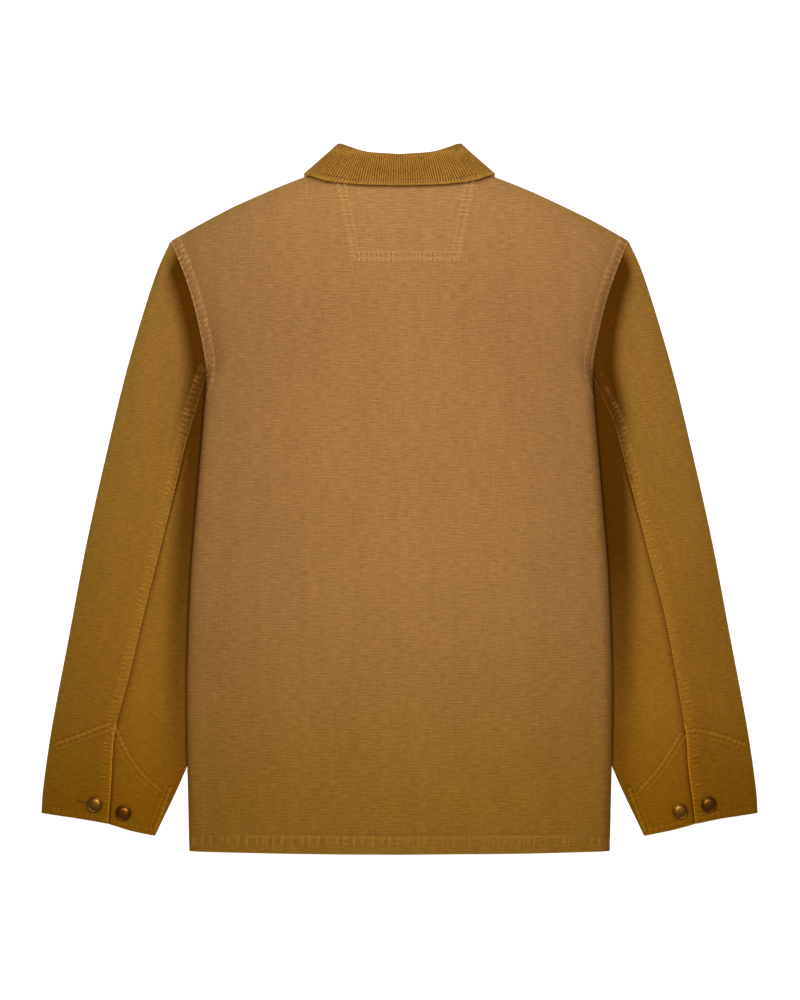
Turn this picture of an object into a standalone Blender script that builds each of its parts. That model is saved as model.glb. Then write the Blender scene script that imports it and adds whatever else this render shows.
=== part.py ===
"""A canvas chore jacket lying face down, laid out flat with its back upwards.

+X is across the jacket, +Y runs from hem to collar and +Z is up from the surface it lies on.
The origin is on that surface, below the middle of the jacket's outline. Sizes are in
millimetres and become metres when a mesh is made. "across" is the distance from the centre
back, "along" the distance from the origin towards the collar, "up" the height.

Each cloth piece is a grid of points on its outer skin, worked out from its outline and a few
heights. The wall's inner skin is the same grid moved in by the cloth's thickness.
"""

import math
from collections import namedtuple

import bpy
import numpy as np

MM = 0.001

# Cloth and seams
CANVAS = 1.2
HEM_FOLD = 2.2             # the canvas and its turned-up allowance
HEM_DEPTH = 20.0
COLLAR_CLOTH = 1.0         # each of the collar's two layers
SEAM_GAP = 0.5             # between two pieces in plan, 0.3 or more between their skins
LAP_GAP = 0.45             # between a piece and one that lies on it
HEAD_GAP = 0.7             # between the sleeve's head and the armhole

# Body
ARMPIT_ALONG = 54.5
SIDE_FOLD_RUN = 12.0       # how far in from its edge the side fold starts to turn
SHOULDER_UP = 8.5          # height of the seam between back and fronts along the shoulder
SHOULDER_GAP = 0.5         # from that height to the edge of each
SHOULDER_ROUND = 24.0
FRONT_SHOULDER_ROUND = 13.0
ARMHOLE_DIP = 30.0         # width of the slope from the back down to its armhole seam
OVERLAP = 18.0             # each front's run past the centre front
OVER_SLEEVE = 5.1          # underside of the body where it lies on a sleeve
ARMPIT_LIFT = 3.6          # front's corner where it meets the side strip at the armpit
BUTTON_RIDGE = (3.7, 12.0, 26.0)        # lift of the closed fronts, half width, slope
RIDGE_END = (0.62, -380.0, 120.0)       # share of it left to the outer front's hem, from, run
COLLAR_LIFT = (3.1, 115.0, 121.0, 340.0)  # lift, half width, half length and middle of the bed
COLLAR_BED_SLOPE = 0.16    # run of the bed's edge, as a share of its size
ARMPIT_REACH = 45.0        # how far from the armpit a front is lifted
STRIP_RISE_FROM = -60.0    # from here up to the armpit the side seam leaves the floor
KNEE_GAP = 6.0             # from the sleeve to the knee where the side strip comes down
STRIP_MARGIN = 3.0         # least run of the side strip
FOLD_MARGIN = 6.0          # least gap from the back's last flat column to its side fold
ARMHOLE_FROM, ARMHOLE_BLEND = 112.0, 45.0   # where the side fold turns into the armhole
HEM_STEP = 4.0             # run over which the hem thins to one layer
CLOSING_RUN = (2.0, 14.0)  # the inner front comes down this far past the outer one's edge

# Sleeves
CUFF_CLEAR = -290.0        # from here to the cuff the sleeve lies clear of the body
VALLEY_UP, VALLEY_RUN = 5.0, 1.5        # upper skin beside the body below there, and its run
BELOW_EDGE = 1.1           # upper skin below the body's edge along the armhole
OUTER_FOLD_RUN, UNDER_FOLD_RUN = 30.0, 7.0
INNER_FOLD_RUN = 3.5
UNDERARM_STRIP = 0.13      # under sleeve's share of the sleeve's width on the underside
PLACKET_SHARE = 0.2        # of the sleeve's length, open from the cuff up
PLACKET_RUN = 0.03         # over which the placket's lap narrows to the seam's
UNDER_SEAM_HALF = 0.003    # half the gap of the underside seam, as a share of the width
LAP_SHARES = (0.06, 0.18)  # run of the lap under the top sleeve, at the seam and the placket
LAP_DROP = 2.0

# Collar and patch
ROLL_RADIUS = 2.85
PATCH_THICK, PATCH_GAP = 1.0, 0.6

# Buttons
BUTTON_RADIUS, BUTTON_UP = 8.6, 3.4
BUTTON_SIDES = 16
BUTTON_LIFT = 0.25         # above the lap gap, over the curve of the cuff
FRONT_BUTTONS_ALONG = (232.0, 122.0, 12.0, -98.0, -208.0)

Spot = namedtuple("Spot", "across along")
Place = namedtuple("Place", "across along up")
BodyRow = namedtuple("BodyRow", "along centre side under")
SleeveRow = namedtuple("SleeveRow", "along crest outer_fold inner_fold rise inner_run")
EdgeRow = namedtuple("EdgeRow", "along edge")
CollarRow = namedtuple("CollarRow", "seam roll edge turn")

SIDE = [  # side fold of the body from the hem up, then the armhole seam to the shoulder
    Spot(231.6, -386.5), Spot(232.7, -330.0), Spot(233.8, -271.0), Spot(234.0, -205.0),
    Spot(232.1, -139.0), Spot(229.0, -73.0), Spot(223.6, -7.0), Spot(218.0, 59.0),
    Spot(213.0, 120.0), Spot(212.6, 147.0), Spot(216.0, 169.0), Spot(220.6, 191.0),
    Spot(226.0, 213.0), Spot(232.6, 235.0), Spot(240.4, 257.0), Spot(251.4, 284.4),
]
UNDER_SEAM = [  # side seam from the hem to the armpit, then the hidden part of the armhole
    Spot(176.0, -387.5), Spot(170.6, -330.0), Spot(154.0, -139.0), Spot(145.0, -37.0),
    Spot(137.0, ARMPIT_ALONG), Spot(164.0, 76.0), Spot(190.0, 100.0), Spot(212.4, 140.0),
]
SHOULDER = [Spot(82.0, 363.0), Spot(124.9, 347.0), Spot(163.4, 330.5), Spot(199.7, 313.0),
            Spot(231.6, 296.0), Spot(251.4, 284.4)]
BACK_NECK = [Spot(0.0, 352.0), Spot(30.0, 352.8), Spot(60.0, 356.0), Spot(82.0, 363.0)]
FRONT_NECK = [Spot(-18.0, 285.6), Spot(0.0, 284.0), Spot(34.0, 291.0), Spot(57.0, 307.0),
              Spot(75.0, 337.0), Spot(82.0, 363.0)]
HEM = [Spot(0.0, -390.0), Spot(120.0, -389.2), Spot(231.6, -386.5)]
SLEEVE_OUTER = [
    Spot(394.4, -344.9), Spot(392.0, -314.0), Spot(382.3, -248.0), Spot(363.6, -149.0),
    Spot(344.9, -50.0), Spot(322.9, 49.0), Spot(298.7, 148.0), Spot(270.0, 242.0),
    Spot(251.4, 284.4),
]
SLEEVE_INNER = [
    Spot(269.0, -370.2), Spot(232.7, -290.4), Spot(205.0, -200.0), Spot(178.0, -90.0),
    Spot(137.0, ARMPIT_ALONG),
]
BACK_SEAM = [  # seam of the two sleeve pieces, from the cuff's hem up to the armhole
    Spot(320.5, -356.6), Spot(317.0, -310.0), Spot(314.5, -267.0), Spot(310.0, -243.0),
    Spot(296.5, -193.0), Spot(281.6, -129.0), Spot(265.7, -66.5), Spot(246.0, 15.0),
    Spot(236.0, 59.0), Spot(225.0, 98.5), Spot(213.2, 140.0),
]
CUFF_HEM_INNER = [Spot(269.0, -370.2), Spot(296.0, -364.3), Spot(320.5, -356.6)]
CUFF_HEM_OUTER = [Spot(320.5, -356.6), Spot(357.0, -350.3), Spot(394.4, -344.9)]

BODY_ROWS = [  # heights of the back's skin: centre, top of the side fold, foot of the side fold
    BodyRow(-390.0, 15.0, 12.5, 0.0), BodyRow(-345.0, 18.0, 15.0, 0.0),
    BodyRow(-275.0, 22.0, 18.5, OVER_SLEEVE), BodyRow(-100.0, 27.0, 22.0, OVER_SLEEVE),
    BodyRow(60.0, 28.0, 22.5, OVER_SLEEVE), BodyRow(200.0, 26.0, 21.0, OVER_SLEEVE),
    BodyRow(290.0, 23.5, 19.0, OVER_SLEEVE), BodyRow(370.0, 22.0, 18.0, OVER_SLEEVE),
]
SLEEVE_ROWS = [  # crest, middle heights of both folds, widths of the rises by body and inner fold
    SleeveRow(-372.0, 9.5, 4.4, 3.4, 16.0, 18.0), SleeveRow(-310.0, 11.0, 4.8, 3.0, 20.0, 12.0),
    SleeveRow(-240.0, 13.5, 5.2, 2.0, 26.0, 3.5), SleeveRow(-60.0, 16.0, 5.8, 2.0, 31.0, 3.5),
    SleeveRow(100.0, 17.0, 6.8, 2.0, 33.0, 3.5), SleeveRow(180.0, 17.0, 7.4, 2.0, 30.0, 3.5),
    SleeveRow(250.0, 15.5, 8.2, 2.0, 22.0, 3.5),
    SleeveRow(290.0, 10.5, SHOULDER_UP, 2.0, 16.0, 3.5),
]
EDGE_ROWS = [EdgeRow(112.0, OVER_SLEEVE), EdgeRow(147.0, 6.6), EdgeRow(175.0, 9.6),
             EdgeRow(205.0, 11.5), EdgeRow(240.0, 11.2), EdgeRow(284.4, SHOULDER_UP)]
COLLAR_ROWS = [  # neck seam, roll and outer edge, and which way the leaf faces in degrees
    CollarRow(Place(0, 353.0, 21.6), Place(0, 375.4, 45.0), Place(0, 343.4, 28.6), 0),
    CollarRow(Place(40, 355.2, 21.5), Place(35, 378.2, 44.2), Place(45, 344.6, 28.6), 0),
    CollarRow(Place(66, 359.9, 20.6), Place(54, 384.4, 39.0), Place(80, 348.8, 27.0), 25),
    CollarRow(Place(79, 364.5, 14.0), Place(62, 388.4, 29.0), Place(96.2, 354.6, 21.0), 60),
    CollarRow(Place(83.5, 366.5, 8.6), Place(65, 389.06, 17.5), Place(104.6, 358.2, 9.8), 100),
    CollarRow(Place(80.4, 364.2, 7.2), Place(65, 386.5, 11.0), Place(105.4, 357.0, 3.6), 130),
    CollarRow(Place(77.6, 357.0, 6.2), Place(63, 377.0, 6.0), Place(103.0, 345.5, 0.5), 160),
    CollarRow(Place(74, 339.0, 6.0), Place(57, 360.0, 3.2), Place(99.0, 328.0, 0.3), 180),
    CollarRow(Place(54, 307.5, 6.0), Place(41, 328.0, 3.2), Place(91.5, 292.0, 0.3), 180),
    CollarRow(Place(27.5, 290.4, 6.0), Place(21, 310.0, 3.2), Place(80.0, 265.0, 0.3), 180),
    CollarRow(Place(6, 285.9, 6.0), Place(8, 303.0, 3.2), Place(66.0, 249.0, 0.3), 180),
]
NECK_PATCH = [Spot(59.5, 260.7), Spot(77.0, 349.0)]   # right edge; the left one mirrors it
PATCH_SHIFT = 6.5          # the patch sits this far off centre
CUFF_BUTTONS = [("button", Spot(334.8, -335.0), Spot(339.9, -335.0)),
                ("spare", Spot(303.4, -344.5), Spot(308.3, -342.5))]  # name, left, right cuff

COLOURS = {  # linear base colour, roughness, metallic
    "canvas": ((0.40, 0.215, 0.062), 0.92, 0.0),
    "corduroy": ((0.27, 0.135, 0.030), 0.95, 0.0),
    "button_metal": ((0.20, 0.115, 0.045), 0.38, 0.9),
}


# ------------------------------------------------------------------ curves and profiles
def smooth(x):
    """0 below 0 and 1 above 1, level at both ends."""
    x = np.clip(x, 0.0, 1.0)
    return x * x * (3.0 - 2.0 * x)


def quarter(x):
    """A quarter ellipse: upright at 0, level from 1 on."""
    return np.sqrt(1.0 - (1.0 - np.clip(x, 0.0, 1.0)) ** 2)


def from_table(rows, column, along):
    """A column of a table of rows, read at a place along the jacket."""
    return np.interp(along, [row.along for row in rows], [getattr(row, column) for row in rows])


def spline(spots, steps=12):
    """A smooth curve through the spots, as closely spaced points."""
    points = np.array(spots, float)
    ends = np.vstack([2 * points[0] - points[1], points, 2 * points[-1] - points[-2]])
    t = np.linspace(0, 1, steps, endpoint=False)[:, None]
    runs = [0.5 * (2 * b + (c - a) * t + (2 * a - 5 * b + 4 * c - d) * t**2
                   + (3 * b - a - 3 * c + d) * t**3)
            for a, b, c, d in zip(ends, ends[1:], ends[2:], ends[3:])]
    return np.vstack(runs + [points[-1:]])


def shares_along(curve):
    steps = np.linalg.norm(np.diff(curve, axis=0), axis=1)
    lengths = np.concatenate([[0.0], np.cumsum(steps)])
    return lengths / lengths[-1]


def at_share(curve, shares):
    """The curve's points at shares of its length."""
    own = shares_along(curve)
    return np.column_stack([np.interp(shares, own, column) for column in curve.T])


def across_at(curve, along):
    """How far across the curve is, at a place along the jacket."""
    order = np.argsort(curve[:, 1])
    return np.interp(along, curve[order, 1], curve[order, 0])


def share_at(curve, along):
    return np.interp(along, curve[:, 1], shares_along(curve))


def distance_to(curve, points):
    """Plan distance from each point of a grid to a curve's segments."""
    start, run = curve[:-1], np.diff(curve, axis=0)
    flat = points.reshape(-1, 1, 2) - start
    t = np.clip((flat * run).sum(2) / (run**2).sum(1), 0.0, 1.0)
    return np.linalg.norm(flat - t[:, :, None] * run, axis=2).min(1).reshape(points.shape[:-1])


def moved_out(curve, gap):
    """The curve moved to the right of its direction, towards the sleeve."""
    run = np.gradient(curve, axis=0)
    run /= np.linalg.norm(run, axis=1, keepdims=True)
    return curve + gap * np.column_stack([run[:, 1], -run[:, 0]])


def coons(left, right, bottom, top, ups, acrosses):
    """A patch of plan points at shares between four curves that meet at its corners."""
    u, p = np.array(ups)[:, None, None], np.array(acrosses)[None, :, None]
    corners = ((1 - u) * ((1 - p) * bottom[0] + p * bottom[-1])
               + u * ((1 - p) * top[0] + p * top[-1]))
    return ((1 - p) * at_share(left, ups)[:, None] + p * at_share(right, ups)[:, None]
            + (1 - u) * at_share(bottom, acrosses) + u * at_share(top, acrosses) - corners)


# ------------------------------------------------------------------ outlines
side_line = spline(SIDE)
under_line = np.array(UNDER_SEAM, float)
shoulder_line = spline(SHOULDER)
hem_line = spline(HEM)
hidden_armhole = under_line[under_line[:, 1] >= ARMPIT_ALONG]
visible_armhole = side_line[side_line[:, 1] > UNDER_SEAM[-1].along]
sleeve_head = moved_out(np.vstack([hidden_armhole, visible_armhole]), HEAD_GAP)
head_inner, head_outer = sleeve_head[:len(hidden_armhole)], sleeve_head[len(hidden_armhole) - 1:]
inner_line = spline(SLEEVE_INNER[:-1] + [sleeve_head[0]])
outer_line = spline(SLEEVE_OUTER[:-1] + [sleeve_head[-1]])
seam_line = spline(BACK_SEAM[:-1] + [head_outer[0]])
cuff_inner, cuff_outer = np.array(CUFF_HEM_INNER), np.array(CUFF_HEM_OUTER)


# ------------------------------------------------------------------ heights
def shoulder_drop(plan, round_width):
    return quarter(distance_to(shoulder_line, plan) / round_width)


def back_up(plan):
    """Height of the back's skin, leaving out its side folds and armholes."""
    across, along = abs(plan[..., 0]), plan[..., 1]
    centre, side = from_table(BODY_ROWS, "centre", along), from_table(BODY_ROWS, "side", along)
    share = np.clip(across / across_at(side_line, along), 0.0, 1.0)
    crown = side + (centre - side) * np.cos(0.5 * math.pi * share)
    plan = np.stack([across, along], axis=-1)
    low = SHOULDER_UP + SHOULDER_GAP
    return low + (crown - low) * shoulder_drop(plan, SHOULDER_ROUND)


def front_up(plan, low_hem=True):
    """Height of a front's outer skin, which faces down."""
    across, along = abs(plan[..., 0]), plan[..., 1]
    lift, half, slope = BUTTON_RIDGE
    if low_hem:
        left_over, low_end, run = RIDGE_END
        lift = lift * (left_over + (1.0 - left_over) * smooth((along - low_end) / run))
    ridge = lift * (1.0 - smooth((across - half) / slope))
    lift, half_width, half_length, middle = COLLAR_LIFT
    bed = np.hypot(across / half_width, (along - middle) / half_length)
    bed = lift * (1.0 - smooth((bed - 1.0) / COLLAR_BED_SLOPE))
    plan = np.stack([across, along], axis=-1)
    shoulder = SHOULDER_UP - SHOULDER_GAP
    rise = 1.0 - shoulder_drop(plan, FRONT_SHOULDER_ROUND)
    armpit = np.linalg.norm(plan - hidden_armhole[0], axis=-1)
    corner = ARMPIT_LIFT * (1.0 - smooth(armpit / ARMPIT_REACH))
    low = np.maximum(np.maximum(ridge, bed), corner)
    return low + (shoulder - low) * rise


def edge_up(along):
    """Height of the back's edge at the armhole."""
    return from_table(EDGE_ROWS, "edge", along)


def sleeve_up(plan, from_inner, from_outer):
    """Height of the sleeve's upper skin, from its plan and its distance to each fold."""
    across, along = plan[..., 0], plan[..., 1]
    crest = from_table(SLEEVE_ROWS, "crest", along)
    low = np.where(along < CUFF_CLEAR, VALLEY_UP, edge_up(along) - BELOW_EDGE)
    beyond = across - across_at(side_line, along) - VALLEY_RUN
    up = low + (crest - low) * smooth(beyond / from_table(SLEEVE_ROWS, "rise", along))
    outer = from_table(SLEEVE_ROWS, "outer_fold", along)
    inner = from_table(SLEEVE_ROWS, "inner_fold", along)
    up = outer + (up - outer) * quarter(from_outer / OUTER_FOLD_RUN)
    return inner + (up - inner) * quarter(from_inner / from_table(SLEEVE_ROWS, "inner_run", along))


def sleeve_down(plan, from_inner, from_outer):
    """Height of the sleeve's lower skin, flat on the surface but for its folds."""
    along = plan[..., 1]
    outer = from_table(SLEEVE_ROWS, "outer_fold", along)
    inner = from_table(SLEEVE_ROWS, "inner_fold", along)
    up = outer * (1.0 - quarter(from_outer / UNDER_FOLD_RUN))
    return np.maximum(up, inner * (1.0 - quarter(from_inner / INNER_FOLD_RUN)))


# ------------------------------------------------------------------ walls and objects
def normals_of(grid):
    """Unit normals, pointing up where rows run along and columns run across the jacket."""
    normal = np.cross(np.gradient(grid, axis=1), np.gradient(grid, axis=0))
    return normal / np.maximum(np.linalg.norm(normal, axis=2, keepdims=True), 1e-9)


def wall(grid, thickness):
    """Vertices and faces of a closed wall whose outer skin is the grid."""
    rows, columns = grid.shape[:2]
    inner = grid - normals_of(grid) * np.broadcast_to(thickness, (rows, columns))[:, :, None]
    points = np.concatenate([grid.reshape(-1, 3), inner.reshape(-1, 3)])
    skin = np.arange(rows * columns).reshape(rows, columns)
    back = skin + rows * columns
    faces = []
    for i in range(rows - 1):
        for j in range(columns - 1):
            a, b, c, d = skin[i, j], skin[i, j + 1], skin[i + 1, j + 1], skin[i + 1, j]
            for corners in ((a, b, c), (a, c, d)):
                faces.append(corners)
                faces.append(tuple(corner + rows * columns for corner in reversed(corners)))
    rims = [(skin[0], back[0]), (skin[:, -1], back[:, -1]),
            (skin[-1][::-1], back[-1][::-1]), (skin[::-1, 0], back[::-1, 0])]
    for outer, below in rims:
        for k in range(len(outer) - 1):
            faces.append((outer[k + 1], outer[k], below[k], below[k + 1]))
    return points, [tuple(int(corner) for corner in face) for face in faces]


def material(name):
    found = bpy.data.materials.get(name)
    if found:
        return found
    colour, roughness, metallic = COLOURS[name]
    made = bpy.data.materials.new(name)
    made.use_nodes = True
    shader = made.node_tree.nodes["Principled BSDF"]
    shader.inputs["Base Color"].default_value = (*colour, 1.0)
    shader.inputs["Roughness"].default_value = roughness
    shader.inputs["Metallic"].default_value = metallic
    return made


def add_piece(name, points, faces, finish):
    mesh = bpy.data.meshes.new(name)
    mesh.from_pydata([tuple(point * MM) for point in points], [], faces)
    mesh.materials.append(material(finish))
    mesh.shade_smooth()
    mesh.set_sharp_from_angle(angle=math.radians(50))
    piece = bpy.data.objects.new(name, mesh)
    bpy.context.scene.collection.objects.link(piece)
    return piece


def add_cloth(name, grid, thickness=CANVAS, finish="canvas", left=False):
    """A cloth piece from its grid, mirrored to the jacket's left where asked."""
    points, faces = wall(grid, thickness)
    if left:
        points = points * (-1.0, 1.0, 1.0)
        faces = [face[::-1] for face in faces]
    return add_piece(name, points, faces, finish)


# ------------------------------------------------------------------ the back
BACK_ALONG = [-386.5, -367.0, -364.0, -330.0, -295.0, -260.0, -200.0, -130.0, -60.0, 5.0,
              54.5, 84.0, 108.0, 122.0, 134.0, 146.0, 162.0, 184.0, 208.0, 232.0, 252.0,
              268.0, 278.0, 282.2, 283.8, 284.4]
BACK_ACROSS = [0.0, 0.13, 0.26, 0.355, 0.48, 0.6, 0.73, 0.86]
FOLD_TURNS = [0.0, 26.0, 52.0, 78.0, 104.0, 142.0, 180.0]
STRIP_SHARES = [0.5, 1.0, 1.33, 1.66, 2.0]   # to the knee beside the sleeve, then to the seam


def side_path(along):
    """The back's section from the top of its side fold to its seam on the underside."""
    end_across = across_at(side_line, along)
    top = float(back_up(np.array([end_across - SIDE_FOLD_RUN, along])))
    foot = float(from_table(BODY_ROWS, "under", along))
    turns = np.radians(FOLD_TURNS)
    fold_across = end_across - SIDE_FOLD_RUN * (1.0 - np.sin(turns))
    fold_up = foot + 0.5 * (top - foot) * (1.0 + np.cos(turns))
    strip_end = end_across - SIDE_FOLD_RUN
    seam_across = min(across_at(under_line, along), strip_end - STRIP_MARGIN)
    rise = smooth((along - STRIP_RISE_FROM) / (ARMPIT_ALONG - STRIP_RISE_FROM))
    seam_up = min(foot, OVER_SLEEVE * float(rise))
    knee = across_at(inner_line, along) - KNEE_GAP
    knee = np.clip(knee, seam_across + STRIP_MARGIN, strip_end - 0.5 * STRIP_MARGIN)
    shares = np.array(STRIP_SHARES)
    strip_across = np.where(shares <= 1.0, fold_across[-1] + shares * (knee - fold_across[-1]),
                            knee + (shares - 1.0) * (seam_across + SEAM_GAP - knee))
    strip_up = foot + (seam_up - foot) * smooth(shares - 1.0)
    return np.concatenate([fold_across, strip_across]), np.concatenate([fold_up, strip_up])


def armhole_path(along, columns):
    """The back's section where it slopes down to the visible armhole seam."""
    end_across = across_at(side_line, along)
    inward = ARMHOLE_DIP * np.linspace(1.0, 0.0, columns)
    plan = np.stack([end_across - inward, np.full(columns, along)], axis=-1)
    top, edge = back_up(plan), min(edge_up(along), float(back_up(plan)[-1]))
    return plan[:, 0], edge + (top - edge) * np.sin(0.5 * math.pi * inward / ARMHOLE_DIP)


def back_grid():
    ups = share_at(side_line, BACK_ALONG)
    right = at_share(side_line, ups)
    neck = spline(BACK_NECK)
    centre_line = np.array([hem_line[0], neck[0]])
    top_line = np.vstack([neck, shoulder_line[1:]])
    tail = len(FOLD_TURNS) + len(STRIP_SHARES)
    rows = []
    for along in BACK_ALONG:
        fold_across, fold_up = side_path(along)
        dip_across, dip_up = armhole_path(along, tail)
        weight = float(smooth((along - ARMHOLE_FROM) / ARMHOLE_BLEND))
        tail_across = (1.0 - weight) * fold_across + weight * dip_across
        tail_up = (1.0 - weight) * fold_up + weight * dip_up
        rows.append((tail_across, tail_up))
    plan = coons(centre_line, side_line, hem_line, top_line, ups, BACK_ACROSS + [1.0])
    grid = []
    for k, (tail_across, tail_up) in enumerate(rows):
        body = plan[k, :-1].copy()
        limit = tail_across[0] - FOLD_MARGIN
        body[:, 0] *= min(1.0, limit / body[-1, 0])
        body = np.column_stack([body, back_up(body)])
        slope = (plan[k, -1, 1] - plan[k, -2, 1]) / (plan[k, -1, 0] - plan[k, -2, 0])
        inward = right[k, 0] - tail_across
        tail_along = right[k, 1] - slope * np.minimum(inward, ARMHOLE_DIP)
        grid.append(np.vstack([body, np.column_stack([tail_across, tail_along, tail_up])]))
    half = np.array(grid)
    return np.concatenate([half[:, :0:-1] * (-1.0, 1.0, 1.0), half], axis=1)


def hem_thickness(along):
    thin_from = HEM[0].along + HEM_DEPTH + HEM_STEP
    return np.where(np.array(along) < thin_from, HEM_FOLD, CANVAS)


def add_back():
    grid = back_grid()
    add_cloth("back", grid, hem_thickness(BACK_ALONG)[:, None])


# ------------------------------------------------------------------ the fronts
FRONT_ACROSS = [0.09, 0.18, 0.27, 0.34, 0.4, 0.46, 0.55, 0.65, 0.77, 0.89, 0.96, 1.0]
CLOSING_ACROSS = [0.0, 0.5, 0.75, 1.0]      # columns of the strip where the fronts overlap
CLOSING_END = 34.0
FRONT_ALONG = [-387.5, -367.0, -364.0, -300.0, -220.0, -140.0, -60.0, 5.0, ARMPIT_ALONG,
               76.0, 100.0, 140.0, 170.0, 200.0, 220.0, 238.0, 254.0, 268.0, 277.0, 282.0,
               283.8, 284.4]


def front_grid(inner_layer):
    """A front as it lies on the right, skin facing down, and lifted where it is the inner one."""
    right_line = np.vstack([under_line, visible_armhole]) - (0.5 * SEAM_GAP, 0.0)
    ups = share_at(right_line, FRONT_ALONG)
    neck = spline(FRONT_NECK)
    closing_top = np.vstack([neck[neck[:, 0] < CLOSING_END],
                             (CLOSING_END, np.interp(CLOSING_END, neck[:, 0], neck[:, 1]))])
    rest_top = np.vstack([closing_top[-1:], neck[neck[:, 0] > CLOSING_END],
                          shoulder_line[1:-1], right_line[-1:]])
    hem_middle = np.array([CLOSING_END, hem_line[0, 1] + 0.1])
    hem_edge = np.array([-OVERLAP, hem_line[0, 1] + 0.1])
    closing_line = np.array([hem_middle, closing_top[-1]])
    closing = coons(np.array([hem_edge, closing_top[0]]), closing_line,
                    np.array([hem_edge, hem_middle]), closing_top, ups, CLOSING_ACROSS)
    rest = coons(closing_line, right_line, np.array([hem_middle, right_line[0]]), rest_top,
                 ups, FRONT_ACROSS)
    plan = np.concatenate([closing, rest], axis=1)
    up = front_up(plan, low_hem=not inner_layer)
    if inner_layer:
        gap, run = CLOSING_RUN
        past = smooth((plan[..., 0] - OVERLAP - gap) / run)
        up = up + (HEM_FOLD + LAP_GAP) * (1.0 - past)
    return np.concatenate([plan, up[..., None]], axis=2)[:, ::-1]


def add_fronts():
    thickness = hem_thickness(FRONT_ALONG)[:, None]
    add_cloth("front_left", front_grid(False), thickness, left=True)
    add_cloth("front_right", front_grid(True), thickness)


# ------------------------------------------------------------------ the sleeves
SLEEVE_UPS = [0.0, 0.04, 0.11, 0.17, 0.2, 0.23, 0.3, 0.38, 0.46, 0.54, 0.62, 0.7, 0.77, 0.84,
              0.9, 0.95, 0.98, 1.0]
OUTER_UPPER = [0.0, 0.1, 0.24, 0.4, 0.56, 0.72, 0.84, 0.92, 0.97, 0.993]
WHOLE_LOWER = [1.0, 0.992, 0.975, 0.94, 0.84, 0.74, 0.64, 0.54, 0.4355, 0.263]
INNER_LOWER = [0.08, 0.03, 0.01]
INNER_UPPER = [0.0, 0.02, 0.06, 0.15, 0.35, 0.6, 0.8, 0.93, 0.982]


def sleeve_points(left, right, hem, top, shares, upper=True, drop=0.0):
    """Skin points of one layer of a sleeve, in columns at shares between two of its plan lines."""
    plan = coons(left, right, hem, top, SLEEVE_UPS, shares)
    from_inner = np.linalg.norm(plan - at_share(inner_line, SLEEVE_UPS)[:, None], axis=2)
    from_outer = np.linalg.norm(plan - at_share(outer_line, SLEEVE_UPS)[:, None], axis=2)
    up = (sleeve_up if upper else sleeve_down)(plan, from_inner, from_outer) - drop
    return np.concatenate([plan, up[..., None]], axis=2)


def lower_points(shares):
    cuff = np.vstack([cuff_inner, cuff_outer[1:]])
    return sleeve_points(inner_line, outer_line, cuff, sleeve_head, shares, upper=False)


def sleeve_top_grid():
    """From the back seam over the outer fold to the seam on the underside."""
    upper = sleeve_points(seam_line, outer_line, cuff_outer, head_outer, OUTER_UPPER)
    seam = UNDERARM_STRIP + UNDER_SEAM_HALF
    return np.concatenate([upper, lower_points(WHOLE_LOWER + [seam])], axis=1)


def sleeve_under_grid():
    """From the seam on the underside round the inner fold, and on under the top sleeve's edge."""
    lower = lower_points([UNDERARM_STRIP - UNDER_SEAM_HALF] + INNER_LOWER)
    drops = np.array([0.0] * (len(INNER_UPPER) - 1) + [LAP_DROP])
    upper = sleeve_points(inner_line, seam_line, cuff_inner, head_inner, INNER_UPPER, drop=drops)
    placket = 1.0 - smooth((np.array(SLEEVE_UPS) - PLACKET_SHARE) / PLACKET_RUN)[:, None]
    laps = []
    for share in (0.5, 1.0):
        ends = [sleeve_points(seam_line, outer_line, cuff_outer, head_outer, [share * lap],
                              drop=LAP_DROP)[:, 0] for lap in LAP_SHARES]
        laps.append((1.0 - placket) * ends[0] + placket * ends[1])
    return np.concatenate([lower, upper, np.stack(laps, axis=1)], axis=1)


def add_sleeves():
    for side in ("left", "right"):
        add_cloth("sleeve_top_" + side, sleeve_top_grid(), left=side == "left")
        add_cloth("sleeve_under_" + side, sleeve_under_grid(), left=side == "left")


# ------------------------------------------------------------------ collar and neck patch
ROLL_TURNS = [-90.0, -45.0, 0.0, 45.0, 90.0]
STATIONS = 2                # collar stations from one row of the table to the next


def collar_grid():
    """From the neck seam over the roll to the outer edge, at stations round the neck."""
    table = np.array([[*row.seam, *row.roll, *row.edge, row.turn] for row in COLLAR_ROWS], float)
    half = []
    for station in spline(table, STATIONS):
        seam, roll, edge, turn = station[:3], station[3:6], station[6:9], math.radians(station[9])
        out = roll - 0.5 * (seam + edge)
        out /= np.linalg.norm(out)
        across = np.array([math.sin(turn), 0.0, math.cos(turn)])
        across -= out * (across @ out)
        across /= np.linalg.norm(across)
        middle = roll - ROLL_RADIUS * out
        arc = [middle + ROLL_RADIUS * (math.cos(t) * out + math.sin(t) * across)
               for t in np.radians(ROLL_TURNS)]
        stand = [seam + (arc[0] - seam) * share for share in (0.0, 0.5)]
        leaf = [arc[-1] + (edge - arc[-1]) * share for share in (0.33, 0.67, 1.0)]
        half.append(stand + arc + leaf)
    half = np.array(half)
    half[0, :, 0] = 0.0
    return np.concatenate([half[:0:-1] * (-1.0, 1.0, 1.0), half])


def add_collar():
    grid = collar_grid()
    add_cloth("collar", grid, COLLAR_CLOTH, "corduroy")
    inside = grid - normals_of(grid) * (COLLAR_CLOTH + 0.3)
    add_cloth("under_collar", inside, COLLAR_CLOTH - 0.1)


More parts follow.
